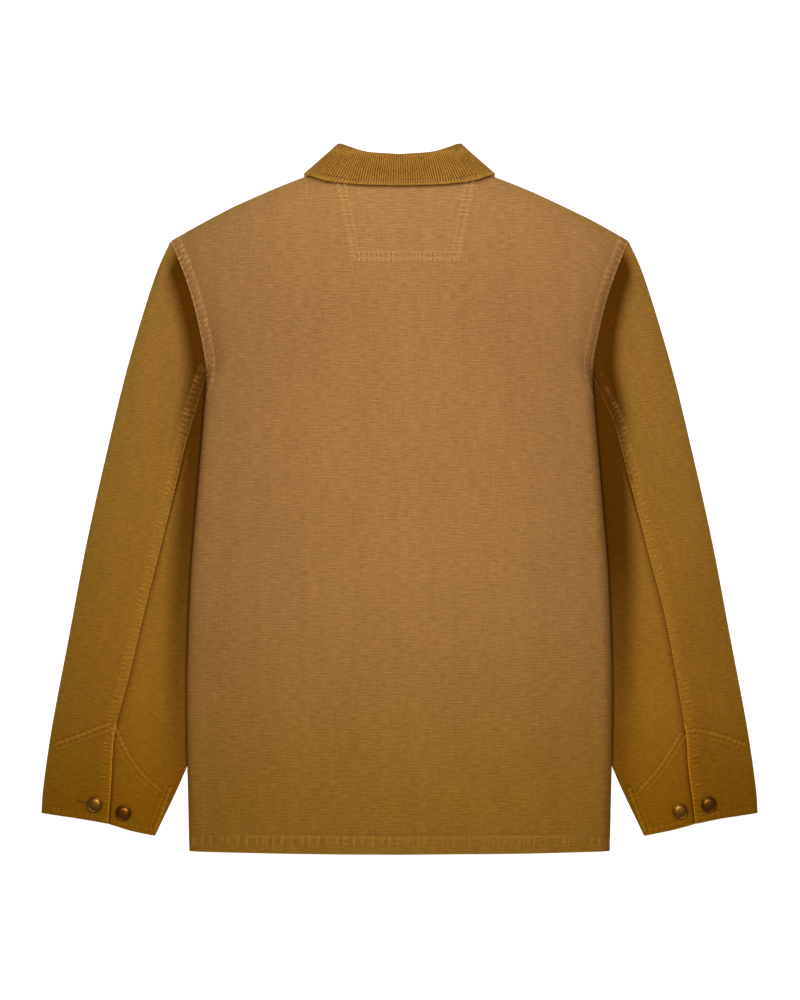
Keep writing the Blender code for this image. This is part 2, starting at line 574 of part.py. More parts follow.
def add_neck_patch():
    right = np.linspace(NECK_PATCH[0], NECK_PATCH[1], 7)
    shares = np.linspace(-1.0, 1.0, 9)
    plan = np.stack([right[:, :1] * shares + PATCH_SHIFT, right[:, 1:] + 0.0 * shares], axis=2)
    up = back_up(plan) + PATCH_GAP + PATCH_THICK
    add_cloth("neck_patch", np.concatenate([plan, up[..., None]], axis=2), PATCH_THICK)


# ------------------------------------------------------------------ buttons
BUTTON_PROFILE = [  # radius and height as shares, from the middle of the base to that of the cap
    (0.45, 0.0), (0.93, 0.08), (1.0, 0.42), (0.95, 0.8), (0.82, 1.0), (0.68, 0.86), (0.3, 0.8)]


def button_mesh():
    """A tack button's cap: a disc with a rolled rim round a sunk middle."""
    turns = np.linspace(0.0, 2.0 * math.pi, BUTTON_SIDES, endpoint=False)
    points, faces = [], []
    for radius, height in BUTTON_PROFILE:
        points += [(BUTTON_RADIUS * radius * math.cos(t), BUTTON_RADIUS * radius * math.sin(t),
                    BUTTON_UP * height) for t in turns]
    for ring in range(len(BUTTON_PROFILE) - 1):
        for k in range(BUTTON_SIDES):
            a, b = ring * BUTTON_SIDES + k, ring * BUTTON_SIDES + (k + 1) % BUTTON_SIDES
            faces.append((a, b, b + BUTTON_SIDES, a + BUTTON_SIDES))
    last = (len(BUTTON_PROFILE) - 1) * BUTTON_SIDES
    faces.append(tuple(range(BUTTON_SIDES))[::-1])
    faces.append(tuple(range(last, last + BUTTON_SIDES)))
    return np.array(points), faces


def skin_at(spot):
    plan = np.array([spot], float)
    return float(sleeve_up(plan, distance_to(inner_line, plan), distance_to(outer_line, plan))[0])


def add_cuff_button(name, spot, left):
    """A button on a cuff, tilted with the cloth below it."""
    reach = BUTTON_RADIUS
    slope_x = (skin_at(spot + (reach, 0)) - skin_at(spot - (reach, 0))) / (2 * reach)
    slope_y = (skin_at(spot + (0, reach)) - skin_at(spot - (0, reach))) / (2 * reach)
    points, faces = button_mesh()
    base = skin_at(spot) + LAP_GAP + BUTTON_LIFT
    tilted = points[:, 2] + base + points[:, 0] * slope_x + points[:, 1] * slope_y
    points = np.column_stack([points[:, :2] + spot, tilted])
    if left:
        points, faces = points * (-1.0, 1.0, 1.0), [face[::-1] for face in faces]
    add_piece(name, points, faces, "button_metal")


def add_buttons():
    for kind, left_spot, right_spot in CUFF_BUTTONS:
        add_cuff_button("cuff_%s_left" % kind, np.array([*left_spot]), left=True)
        add_cuff_button("cuff_%s_right" % kind, np.array([*right_spot]), left=False)
    for number, along in enumerate(FRONT_BUTTONS_ALONG, 1):
        points, faces = button_mesh()
        points = points * (1.0, -1.0, -1.0) + (0.0, along, BUTTON_UP)
        add_piece("front_button_%d" % number, points, faces, "button_metal")


# ------------------------------------------------------------------ the jacket
for old in list(bpy.data.objects):
    bpy.data.objects.remove(old)

add_back()
add_fronts()
add_sleeves()
add_collar()
add_neck_patch()
add_buttons()
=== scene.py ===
import math

import bpy
import numpy as np
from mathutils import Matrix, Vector
from mathutils.bvhtree import BVHTree


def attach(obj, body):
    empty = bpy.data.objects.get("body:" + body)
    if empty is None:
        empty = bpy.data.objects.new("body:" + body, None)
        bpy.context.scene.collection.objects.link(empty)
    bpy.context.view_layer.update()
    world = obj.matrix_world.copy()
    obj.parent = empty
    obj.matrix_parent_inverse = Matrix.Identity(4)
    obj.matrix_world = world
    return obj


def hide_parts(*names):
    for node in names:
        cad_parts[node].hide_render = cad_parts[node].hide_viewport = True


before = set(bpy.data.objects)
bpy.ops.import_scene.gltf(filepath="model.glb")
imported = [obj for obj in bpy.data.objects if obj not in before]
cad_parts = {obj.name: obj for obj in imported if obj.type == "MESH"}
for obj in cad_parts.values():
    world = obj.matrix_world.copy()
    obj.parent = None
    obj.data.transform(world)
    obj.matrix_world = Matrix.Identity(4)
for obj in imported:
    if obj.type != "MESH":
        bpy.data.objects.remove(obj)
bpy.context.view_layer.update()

# The jacket lies face down: +X across it, +Y from hem to collar, +Z up from the floor.
# Shapes are worked out in millimetres, as in the frame's own solids, and built in metres.
mm = 0.001
skinStride = 3  # steps of the outer skin to each one of the inner skin


def smooth(x):
    x = np.clip(x, 0.0, 1.0)
    return x * x * (3.0 - 2.0 * x)


def quarter(x):  # a quarter ellipse: upright at 0, level from 1 on
    return np.sqrt(1.0 - (1.0 - np.clip(x, 0.0, 1.0)) ** 2)


def bump(x):  # 1 in the middle, 0 beyond 1 on either side
    return 1.0 - smooth(np.abs(x))


def fromTable(table, column, along):
    return np.interp(along, table["along"], table[column])


def spline(spots, steps=12):
    points = np.array(spots, float)
    ends = np.vstack([2 * points[0] - points[1], points, 2 * points[-1] - points[-2]])
    t = np.linspace(0, 1, steps, endpoint=False)[:, None]
    runs = [0.5 * (2 * b + (c - a) * t + (2 * a - 5 * b + 4 * c - d) * t**2
                   + (3 * b - a - 3 * c + d) * t**3)
            for a, b, c, d in zip(ends, ends[1:], ends[2:], ends[3:])]
    return np.vstack(runs + [points[-1:]])


def lengthsAlong(curve):
    steps = np.linalg.norm(np.diff(curve, axis=0), axis=1)
    return np.concatenate([[0.0], np.cumsum(steps)])


def atShare(curve, shares):
    own = lengthsAlong(curve)
    return np.column_stack([np.interp(shares, own / own[-1], column) for column in curve.T])


def acrossAt(curve, along):
    order = np.argsort(curve[:, 1])
    return np.interp(along, curve[order, 1], curve[order, 0])


def shareAt(curve, along):
    own = lengthsAlong(curve)
    return np.interp(along, curve[:, 1], own / own[-1])


# distance from each plan point to a curve, and how far along the curve its nearest point is
def nearest(curve, plan):
    start, run = curve[:-1], np.diff(curve, axis=0)
    flat = plan.reshape(-1, 1, 2) - start
    t = np.clip((flat * run).sum(2) / (run**2).sum(1), 0.0, 1.0)
    gaps = np.linalg.norm(flat - t[:, :, None] * run, axis=2)
    best = gaps.argmin(1)
    row = np.arange(len(best))
    along = lengthsAlong(curve)[best] + t[row, best] * np.linalg.norm(run, axis=1)[best]
    return gaps[row, best].reshape(plan.shape[:-1]), along.reshape(plan.shape[:-1])


def movedOut(curve, gap):  # to the right of the curve's direction
    run = np.gradient(curve, axis=0)
    run /= np.linalg.norm(run, axis=1, keepdims=True)
    return curve + gap * np.column_stack([run[:, 1], -run[:, 0]])


def coons(left, right, bottom, top, ups, acrosses):
    u, p = np.array(ups)[:, None, None], np.array(acrosses)[None, :, None]
    corners = ((1 - u) * ((1 - p) * bottom[0] + p * bottom[-1])
               + u * ((1 - p) * top[0] + p * top[-1]))
    return ((1 - p) * atShare(left, ups)[:, None] + p * atShare(right, ups)[:, None]
            + (1 - u) * atShare(bottom, acrosses) + u * atShare(top, acrosses) - corners)


# shares from 0 to 1 that pass through the stops, with about the given number of steps in all,
# and a whole number of strides, so that the inner skin can be coarser
def sharesThrough(stops, steps):
    parts = np.diff(stops)
    counts = np.maximum(1, np.round(parts / parts.sum() * steps)).astype(int)
    counts[-1] += -counts.sum() % skinStride
    runs = [np.linspace(a, b, n, endpoint=False) for a, b, n in zip(stops, stops[1:], counts)]
    return np.concatenate(runs + [[stops[-1]]])


# The jacket's outline, and the heights of its cloth, in millimetres.

cloth = {
    "canvas": 1.2, "hemFold": 2.2, "hemDepth": 20.0, "collarLayer": 1.0,
    "seamGap": 0.5, "lapGap": 0.45, "headGap": 0.7,
}
body = {
    "armpitAlong": 54.5, "sideFoldRun": 20.0, "shoulderUp": 8.5, "shoulderGap": 0.5,
    "shoulderRound": 24.0, "frontShoulderRound": 13.0, "armholeDip": 30.0,
    "overlap": 18.0, "closingEnd": 34.0, "overSleeve": 5.1, "armpitLift": 3.6,
    "ridgeUp": 3.7, "ridgeHalf": 12.0, "ridgeSlope": 26.0,
    "ridgeLeft": 0.62, "ridgeLowEnd": -380.0, "ridgeRun": 120.0,
    "bedUp": 3.1, "bedHalfWidth": 115.0, "bedHalfLength": 121.0, "bedMiddle": 340.0,
    "bedRim": 0.16, "armpitReach": 45.0,
}
arm = {  # the sleeves' form
    "flat": 4.0, "outerFoldRun": 30.0, "underFoldRun": 7.0, "innerFoldRun": 3.5,
    "underarmStrip": 0.13, "placketShare": 0.2, "seamLap": 0.06, "placketLap": 0.18,
    "lapDrop": 2.0, "headTuck": 4.4, "headDrop": 0.7, "headDropFrom": 120.0, "headDropRun": 25.0,
    "underBack": 1.1, "openFrom": -290.0, "besideBody": 1.5,
}
# across, along
side = spline([
    (231.6, -386.5), (232.7, -330.0), (233.8, -271.0), (234.0, -205.0), (232.1, -139.0),
    (229.0, -73.0), (223.6, -7.0), (218.0, 59.0), (213.0, 120.0), (212.6, 147.0),
    (216.0, 169.0), (220.6, 191.0), (226.0, 213.0), (232.6, 235.0), (240.4, 257.0),
    (251.4, 284.4)])
underSeam = np.array([
    (176.0, -387.5), (170.6, -330.0), (154.0, -139.0), (145.0, -37.0),
    (137.0, body["armpitAlong"]), (164.0, 76.0), (190.0, 100.0), (212.4, 140.0)])
shoulder = spline([(82.0, 363.0), (124.9, 347.0), (163.4, 330.5), (199.7, 313.0),
                   (231.6, 296.0), (251.4, 284.4)])
backNeck = spline([(0.0, 352.0), (30.0, 352.8), (60.0, 356.0), (82.0, 363.0)])
frontNeck = spline([(-18.0, 285.6), (0.0, 284.0), (34.0, 291.0), (57.0, 307.0), (75.0, 337.0),
                    (82.0, 363.0)])
hem = spline([(0.0, -390.0), (120.0, -389.2), (231.6, -386.5)])
hiddenArmhole = underSeam[underSeam[:, 1] >= body["armpitAlong"]]
visibleArmhole = side[side[:, 1] > underSeam[-1, 1]]
sleeveHead = movedOut(np.vstack([hiddenArmhole, visibleArmhole]), cloth["headGap"])
headInner, headOuter = sleeveHead[:len(hiddenArmhole)], sleeveHead[len(hiddenArmhole) - 1:]
sleeveInner = spline([(269.0, -370.2), (232.7, -290.4), (205.0, -200.0), (178.0, -90.0),
                      sleeveHead[0]])
sleeveOuter = spline([
    (394.4, -344.9), (392.0, -314.0), (382.3, -248.0), (363.6, -149.0), (344.9, -50.0),
    (322.9, 49.0), (298.7, 148.0), (270.0, 242.0), sleeveHead[-1]])
backSeam = spline([
    (320.5, -356.6), (317.0, -310.0), (314.5, -267.0), (310.0, -243.0), (296.5, -193.0),
    (281.6, -129.0), (265.7, -66.5), (246.0, 15.0), (236.0, 59.0), (225.0, 98.5),
    headOuter[0]])
headShare = lengthsAlong(headOuter)[:, None] / lengthsAlong(headOuter)[-1]
armholeRun = spline(np.vstack([  # the seam, from where it turns in round the side fold
    [(232.0, 98.0), (221.5, 114.0), (215.0, 131.0)], visibleArmhole[6::12], side[-1:]]), 6)
tuckedHead = movedOut(  # the upper layer's edge, which runs on under the back
    headOuter, -arm["headTuck"] * smooth(headShare / 0.15) * smooth((1.0 - headShare) / 0.12))
cuffInner = np.array([(269.0, -370.2), (296.0, -364.3), (320.5, -356.6)])
cuffOuter = np.array([(320.5, -356.6), (357.0, -350.3), (394.4, -344.9)])

bodyRows = {  # heights of the back: its middle, the top of its side folds, their foot
    "along": [-390, -345, -275, -100, 60, 200, 290, 370],
    "centre": [15, 18, 22, 27, 28, 26, 23.5, 22],
    "side": [12.5, 15, 18.5, 22, 22.5, 21, 19, 18],
    "under": [0, 0] + [body["overSleeve"]] * 6,
}
# crest, middles of both folds, widths of the rises by the body and inner fold, then how dark
# the painted shade is in the valley beside the body and how faded the under sleeve is beyond it
sleeveRows = {
    "along": [-372, -310, -240, -60, 100, 180, 250, 290],
    "crest": [9.5, 11, 13.5, 16, 17, 17, 15.5, 10.5],
    "outerFold": [4.4, 4.8, 5.2, 5.8, 6.8, 7.4, 8.2, 8.5],
    "innerFold": [3.4, 3.0, 2.0, 2.0, 2.0, 2.0, 2.0, 2.0],
    "rise": [16, 20, 26, 31, 33, 30, 22, 16],
    "innerRun": [18, 12, 3.5, 3.5, 3.5, 3.5, 3.5, 3.5],
    "valley": [0.2, 0.3, 0.45, 1.0, 1.25, 1.4, 1.4, 1.2],
    "faded": [0.7, 0.9, 0.9, 0.15, 0.0, 0.0, 0.0, 0.0],
    "widerLeft": [0.0, 0.0, 3.0, 3.5, 6.0, 1.0, 0.0, 0.0],
    "widerRight": [0.0, 0.0, 3.0, 13.0, 14.0, 2.0, 0.0, 0.0],
}
armholeEdge = {"along": [112, 147, 175, 205, 240, 284.4],
               "up": [5.1, 6.6, 9.6, 11.5, 11.2, 8.5]}


def rightHalf(plan):  # with its left half turned over onto the right
    return np.stack([abs(plan[..., 0]), plan[..., 1]], axis=-1)


def beyondBody(plan):  # how far each spot is past the body's side
    return plan[..., 0] - acrossAt(side, plan[..., 1])


def shoulderDrop(plan, roundWidth):
    return quarter(nearest(shoulder[::4], plan)[0] / roundWidth)


def backUp(plan):
    plan = rightHalf(plan)
    across, along = plan[..., 0], plan[..., 1]
    centre, edge = fromTable(bodyRows, "centre", along), fromTable(bodyRows, "side", along)
    share = np.clip(across / acrossAt(side, along), 0.0, 1.0)
    crown = edge + (centre - edge) * np.cos(0.5 * math.pi * share)
    low = body["shoulderUp"] + body["shoulderGap"]
    return low + (crown - low) * shoulderDrop(plan, body["shoulderRound"])


def frontUp(plan, lowHem):
    plan = rightHalf(plan)
    across, along = plan[..., 0], plan[..., 1]
    ridge = body["ridgeUp"] * (1.0 - smooth((across - body["ridgeHalf"]) / body["ridgeSlope"]))
    if lowHem:
        left, run = body["ridgeLeft"], body["ridgeRun"]
        ridge = ridge * (left + (1.0 - left) * smooth((along - body["ridgeLowEnd"]) / run))
    bed = np.hypot(across / body["bedHalfWidth"],
                   (along - body["bedMiddle"]) / body["bedHalfLength"])
    bed = body["bedUp"] * (1.0 - smooth((bed - 1.0) / body["bedRim"]))
    rise = 1.0 - shoulderDrop(plan, body["frontShoulderRound"])
    armpit = np.linalg.norm(plan - hiddenArmhole[0], axis=-1)
    lift = body["armpitLift"] * (1.0 - smooth(armpit / body["armpitReach"]))
    low = np.maximum(np.maximum(ridge, bed), lift)
    return low + (body["shoulderUp"] - body["shoulderGap"] - low) * rise


def sleeveUp(plan, fromInner, fromOuter):
    along = plan[..., 1]
    crest = fromTable(sleeveRows, "crest", along)
    low = np.where(along < arm["openFrom"], arm["flat"] + 1.0,
                   fromTable(armholeEdge, "up", along) - arm["underBack"])
    beyond = beyondBody(plan) - arm["besideBody"]
    tucked = (smooth((along - arm["headDropFrom"]) / arm["headDropRun"])
              * (1.0 - smooth((beyond + arm["besideBody"]) / 4.0)))
    low = low - arm["headDrop"] * tucked
    up = low + (crest - low) * smooth(beyond / fromTable(sleeveRows, "rise", along))
    outer, inner = (fromTable(sleeveRows, fold, along) for fold in ("outerFold", "innerFold"))
    up = outer + (up - outer) * quarter(fromOuter / arm["outerFoldRun"])
    return inner + (up - inner) * quarter(fromInner / fromTable(sleeveRows, "innerRun", along))


def sleeveDown(plan, fromInner, fromOuter):
    along = plan[..., 1]
    outer, inner = (fromTable(sleeveRows, fold, along) for fold in ("outerFold", "innerFold"))
    up = outer * (1.0 - quarter(fromOuter / arm["underFoldRun"]))
    return np.maximum(up, inner * (1.0 - quarter(fromInner / arm["innerFoldRun"])))


# smooth random bumps about size mm across, mostly between -1 and 1
def uneven(plan, size, seed):
    draw, waves = np.random.default_rng(seed), 14
    turns, phases = draw.uniform(0, 2 * math.pi, (2, waves))
    pitches = size * draw.uniform(0.6, 1.7, waves)
    x, y = plan[..., 0], plan[..., 1]
    total = sum(np.cos(2 * math.pi / pitch * (x * math.cos(turn) + y * math.sin(turn)) + phase)
                for turn, phase, pitch in zip(turns, phases, pitches))
    return total / math.sqrt(waves)


# random ripples along a line, about pitch mm from one crest to the next
def ripples(along, pitch, seed):
    draw, waves = np.random.default_rng(seed), 7
    phases, pitches = draw.uniform(0, 2 * math.pi, waves), pitch * draw.uniform(0.7, 1.5, waves)
    return sum(np.cos(2 * math.pi * along / p + phase)
               for p, phase in zip(pitches, phases)) / math.sqrt(waves)


# soft troughs (depth below 0) and ridges along curves: from, by way of, to, width and depth
def creases(plan, rows):
    total = np.zeros(plan.shape[:-1])
    for start, by, end, width, depth in rows:
        line = spline([start, by, end], 6)
        gap, along = nearest(line, plan)
        share = along / lengthsAlong(line)[-1]
        alive = np.sin(math.pi * np.clip(share, 0, 1)) ** 0.7
        total += depth * np.exp(-(gap / width) ** 2) * alive
    return total


def normalsOf(grid):
    normal = np.cross(np.gradient(grid, axis=1), np.gradient(grid, axis=0))
    return normal / np.maximum(np.linalg.norm(normal, axis=2, keepdims=True), 1e-9)


# a closed wall: both skins follow the relief, the outer one also carries the pile, and the
# inner one has a third as many rows and columns
def wall(grid, thickness, relief, pile):
    rows, columns = grid.shape[:2]
    normals = normalsOf(grid)
    lift = np.broadcast_to(relief, (rows, columns))
    outer = grid + normals * (lift + pile)[:, :, None]
    inner = grid + normals * (lift - np.broadcast_to(thickness, (rows, columns)))[:, :, None]
    inner = inner[::skinStride, ::skinStride]
    skin = np.arange(rows * columns).reshape(rows, columns)
    back = np.arange(inner.shape[0] * inner.shape[1]).reshape(inner.shape[:2]) + skin.size
    quads = np.stack([skin[:-1, :-1], skin[:-1, 1:], skin[1:, 1:], skin[1:, :-1]], axis=-1)
    backs = np.stack([back[:-1, :-1], back[1:, :-1], back[1:, 1:], back[:-1, 1:]], axis=-1)
    faces = quads.reshape(-1, 4).tolist() + backs.reshape(-1, 4).tolist()
    rims = [(skin[0], back[0]), (skin[:, -1], back[:, -1]),
            (skin[-1][::-1], back[-1][::-1]), (skin[::-1, 0], back[::-1, 0])]
    for edge, below in rims:
        for k in range(len(below) - 1):
            run = edge[k * skinStride:(k + 1) * skinStride + 1]
            faces.append(run[::-1].tolist() + [int(below[k]), int(below[k + 1])])
    return np.concatenate([outer.reshape(-1, 3), inner.reshape(-1, 3)]), faces


# a distance map of the grid in metres, for weaves that follow the cloth
def clothMap(grid):
    acrossSteps = np.linalg.norm(np.diff(grid, axis=1), axis=2)
    alongSteps = np.linalg.norm(np.diff(grid, axis=0), axis=2)
    u = np.pad(np.cumsum(acrossSteps, axis=1), ((0, 0), (1, 0)))
    v = np.pad(np.cumsum(alongSteps, axis=0), ((1, 0), (0, 0)))
    u -= u[:, -1:] * 0.5
    both = np.stack([u, v], axis=-1) * mm
    return np.concatenate([both.reshape(-1, 2),
                           both[::skinStride, ::skinStride].reshape(-1, 2)])


sharpAngle = math.radians(55.0)  # hems and cut edges stay crisp, folds don't


def linked(name, data):
    made = bpy.data.objects.new(name, data)
    bpy.context.scene.collection.objects.link(made)
    return made


def meshObject(name, points, faces, material, uvs=None, tone=None):
    mesh = bpy.data.meshes.new(name)
    mesh.from_pydata((np.asarray(points) * mm).tolist(), [], faces)
    mesh.materials.append(material)
    if uvs is not None:
        corners = np.empty(len(mesh.loops), int)
        mesh.loops.foreach_get("vertex_index", corners)
        mesh.uv_layers.new(name="cloth").data.foreach_set("uv", uvs[corners].ravel())
    if tone is not None:
        mesh.attributes.new("tone", "FLOAT", "POINT").data.foreach_set("value", tone)
    mesh.shade_smooth()
    mesh.set_sharp_from_angle(angle=sharpAngle)
    made = bpy.data.objects.new(name, mesh)
    bpy.context.scene.collection.objects.link(made)
    return made


sheets = []  # every cloth piece, for the stitches


def addCloth(name, node, grid, material, thickness, relief=0.0, tone=0.0, pile=0.0, left=False):
    points, faces = wall(grid, thickness, relief, pile)
    tone = np.broadcast_to(tone, grid.shape[:2])
    tone = np.concatenate([tone.ravel(), tone[::skinStride, ::skinStride].ravel()])
    uvs = clothMap(grid)
    if left:
        points = points * (-1.0, 1.0, 1.0)
        faces = [face[::-1] for face in faces]
        uvs = uvs * (-1.0, 1.0)
    made = meshObject(name, points, faces, material, uvs, tone)
    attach(made, "root")
    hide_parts(node)
    sheets.append(made)


def linear(hexColour):
    shares = [int(hexColour[k:k + 2], 16) / 255 for k in (1, 3, 5)]
    return [c / 12.92 if c <= 0.04045 else ((c + 0.055) / 1.055) ** 2.4 for c in shares] + [1.0]


def addNode(tree, kind, inputs=(), **settings):
    node = tree.nodes.new(kind)
    for name, value in settings.items():
        setattr(node, name, value)
    for socket, value in dict(inputs).items():
        if isinstance(value, bpy.types.NodeSocket):
            tree.links.new(value, node.inputs[socket])
        else:
            node.inputs[socket].default_value = value
    return node


def setInputs(shader, values):
    for socket, value in values.items():
        shader.inputs[socket].default_value = value


def newMaterial(name):
    made = bpy.data.materials.new(name)
    made.use_nodes = True
    return made, made.node_tree, made.node_tree.nodes["Principled BSDF"]


# noise between 0 and 1 whose features are about across by along metres on the cloth
def clothNoise(tree, place, across, along, detail=2.0):
    scaled = addNode(tree, "ShaderNodeVectorMath", {0: place, 1: (1 / across, 1 / along, 1.0)},
                     operation="MULTIPLY")
    return addNode(tree, "ShaderNodeTexNoise", {"Vector": scaled.outputs[0], "Scale": 1.0,
                                                "Detail": detail}).outputs["Fac"]


# 1 plus each share times its value less the middle
def shade(tree, terms):
    total = 1.0
    for value, middle, share in terms:
        centred = addNode(tree, "ShaderNodeMath", {0: value, 1: middle}, operation="SUBTRACT")
        total = addNode(tree, "ShaderNodeMath", {0: centred.outputs[0], 1: share, 2: total},
                        operation="MULTIPLY_ADD").outputs[0]
    return total


# the dyed colour, with its painted light and shade, times the shade of each thread, and the
# fine relief of the threads
def dressCloth(tree, shader, dyed, factor, threads):
    colour = addNode(tree, "ShaderNodeVectorMath", {0: dyed, "Scale": factor}, operation="SCALE")
    relief = addNode(tree, "ShaderNodeBump", {"Height": threads, "Distance": threadHeight})
    tree.links.new(colour.outputs[0], shader.inputs["Base Color"])
    tree.links.new(relief.outputs[0], shader.inputs["Normal"])


threadHeight = 0.0003  # metres
fibreEnds = "#b08a4a"  # the loose ends that catch a low light
waveAtOneMetre = 0.314  # scale at which Blender's wave bands are a metre apart
canvasSettings = {
    "falloffFrom": -0.40, "falloffTo": 0.40,
    "bodyDyeAndFalloff": {-0.33: "#9e7126", -0.11: "#a77940", 0.20: "#a87a44", 0.34: "#b3844b"},
    "sleeveDyeAndShade": {-0.34: "#875705", -0.22: "#926318", 0.0: "#966a25", 0.20: "#996d2d"},
    "slub": (0.011, 0.0018), "warp": (0.0020, 0.020),  # metres across and along
    "cloud": (0.09, 0.13), "stripe": (0.016, 0.5),
    "ribPitch": 0.0032, "ribWander": 5.0, "ribPatch": 0.5, "ribShare": 0.10,
    "slubShare": 0.72, "warpShare": 0.30, "cloudShare": 0.16, "stripeShare": 0.14,
    # deep is the colour of the painted shade, reached at a tone of deepTone
    "wornShare": 0.19, "deep": "#553100", "deepTone": -3.0,
}


# Plain-weave cotton canvas, garment-dyed and washed: matt, its thick weft yarns show as short
# slubs across the cloth, and the edges of its seams are rubbed paler. Its colour also carries
# painted light and shade: a painted falloff makes it darker towards the hem, and below a tone of
# 0 it goes towards a deep brown, as painted shade. Real yarns are about 0.7 mm apart, too fine to
# show from here, so the slubs are drawn about two and a half times coarser, and the ribs that
# they gather into are 3.2 mm apart.
def makeCanvas(name, dye):
    made, tree, shader = newMaterial(name)
    s = canvasSettings
    place = addNode(tree, "ShaderNodeUVMap", uv_map="cloth").outputs[0]
    here = addNode(tree, "ShaderNodeTexCoord").outputs["Object"]
    along = addNode(tree, "ShaderNodeSeparateXYZ", {0: here}).outputs["Y"]
    # painted light falloff: along Y the colour ramp makes the canvas darker towards the hem
    fade = addNode(tree, "ShaderNodeMapRange", {0: along, 1: s["falloffFrom"], 2: s["falloffTo"]})
    dyed = addNode(tree, "ShaderNodeValToRGB", {0: fade.outputs[0]})
    stops = dyed.color_ramp.elements
    while len(stops) < len(dye):
        stops.new(0.5)
    for stop, (spot, colour) in zip(stops, sorted(dye.items())):
        stop.position = (spot - s["falloffFrom"]) / (s["falloffTo"] - s["falloffFrom"])
        stop.color = linear(colour)
    slub, warp = clothNoise(tree, place, *s["slub"]), clothNoise(tree, place, *s["warp"])
    cloud, stripe = clothNoise(tree, here, *s["cloud"]), clothNoise(tree, place, *s["stripe"])
    ribs = addNode(tree, "ShaderNodeTexWave", {
        "Vector": place, "Scale": waveAtOneMetre / s["ribPitch"], "Distortion": s["ribWander"],
        "Detail": 1.0, "Detail Scale": s["ribPatch"]}, bands_direction="Y").outputs["Fac"]
    tone = addNode(tree, "ShaderNodeAttribute", attribute_name="tone").outputs["Fac"]
    # above a tone of 0 the canvas is paler where it is rubbed, and on the placket's edge it also
    # has a painted highlight; below 0 it goes towards the deep brown of the painted shade
    worn = addNode(tree, "ShaderNodeMath", {0: tone, 1: 0.0}, operation="MAXIMUM").outputs[0]
    depth = addNode(tree, "ShaderNodeMapRange", {0: tone, 1: 0.0, 2: s["deepTone"]})
    paintedShade = addNode(tree, "ShaderNodeMix", {0: depth.outputs[0], 6: dyed.outputs[0],
                                             7: linear(s["deep"])}, data_type="RGBA")
    factor = shade(tree, [(slub, 0.5, s["slubShare"]), (warp, 0.5, s["warpShare"]),
                          (cloud, 0.5, s["cloudShare"]), (stripe, 0.5, s["stripeShare"]),
                          (ribs, 0.5, s["ribShare"]), (worn, 0.0, s["wornShare"])])
    yarn = addNode(tree, "ShaderNodeMath", {0: slub, 1: warp}, operation="ADD")
    dressCloth(tree, shader, paintedShade.outputs[2], factor, yarn.outputs[0])
    setInputs(shader, {"Roughness": 0.93, "Specular IOR Level": 0.05, "Sheen Weight": 0.03,
                       "Sheen Roughness": 0.5, "Sheen Tint": linear(fibreEnds)})
    return made


corduroySettings = {
    # the crest colour is a painted highlight and the valley colour painted shade
    "crest": "#b27f30", "valley": "#241200", "crestTone": 0.42, "valleyTone": -0.32,
    "pile": (0.0016, 0.0034, 3.0), "pileShare": 1.5, "cloud": (0.012, 0.014), "cloudShare": 0.5,
}


# Cut cotton corduroy, dyed with the jacket: each wale has a painted highlight on its crest and
# painted shade, deep brown, in its furrow, and is rubbed in patches. The tufts of the pile are
# about 0.5 mm across, so they are drawn three times coarser to show.
def makeCorduroy():
    made, tree, shader = newMaterial("garmentDyedCutCorduroy")
    s = corduroySettings
    place = addNode(tree, "ShaderNodeUVMap", uv_map="cloth").outputs[0]
    wale = addNode(tree, "ShaderNodeAttribute", attribute_name="tone").outputs["Fac"]
    height = addNode(tree, "ShaderNodeMapRange", {0: wale, 1: s["valleyTone"], 2: s["crestTone"]})
    base = addNode(tree, "ShaderNodeMix", {0: height.outputs[0], 6: linear(s["valley"]),
                                           7: linear(s["crest"])}, data_type="RGBA")
    pile, cloud = clothNoise(tree, place, *s["pile"]), clothNoise(tree, place, *s["cloud"])
    factor = shade(tree, [(pile, 0.5, s["pileShare"]), (cloud, 0.5, s["cloudShare"])])
    dressCloth(tree, shader, base.outputs[2], factor, pile)
    setInputs(shader, {"Roughness": 0.95, "Specular IOR Level": 0.08, "Sheen Weight": 0.12,
                       "Sheen Roughness": 0.4, "Sheen Tint": linear(fibreEnds)})
    return made


# Spun polyester-cotton sewing thread, dyed with the jacket but a little paler than the canvas,
# with a faint shine on each stitch.
def makeThread():
    made, tree, shader = newMaterial("spunTopstitchThread")
    here = addNode(tree, "ShaderNodeTexCoord").outputs["Object"]
    along = addNode(tree, "ShaderNodeSeparateXYZ", {0: here}).outputs["Y"]
    # painted light falloff, as on the canvas: darker towards the hem, paler towards the collar
    fade = addNode(tree, "ShaderNodeMapRange", {0: along, 1: -0.40, 2: 0.37})
    dyed = addNode(tree, "ShaderNodeMix", {0: fade.outputs[0], 6: linear("#a4752c"),
                                           7: linear("#c69b5a")}, data_type="RGBA")
    tree.links.new(dyed.outputs[2], shader.inputs["Base Color"])
    setInputs(shader, {"Roughness": 0.75, "Specular IOR Level": 0.08})
    return made


# Pressed brass with an antique plating, as on tack buttons: dark bronze, rubbed brighter in
# cloudy patches, so its highlight is soft. Two of the cuff buttons get a darker copy of it.
def makeTackMetal(name, deep, pale):
    made, tree, shader = newMaterial(name)
    here = addNode(tree, "ShaderNodeTexCoord").outputs["Object"]
    cloud = clothNoise(tree, here, 0.003, 0.003, 4.0)
    base = addNode(tree, "ShaderNodeMix", {0: cloud, 6: linear(deep), 7: linear(pale)},
                   data_type="RGBA")
    rough = addNode(tree, "ShaderNodeMapRange", {0: cloud, 3: 0.52, 4: 0.30})
    tree.links.new(base.outputs[2], shader.inputs["Base Color"])
    tree.links.new(rough.outputs[0], shader.inputs["Roughness"])
    setInputs(shader, {"Metallic": 0.92})
    return made


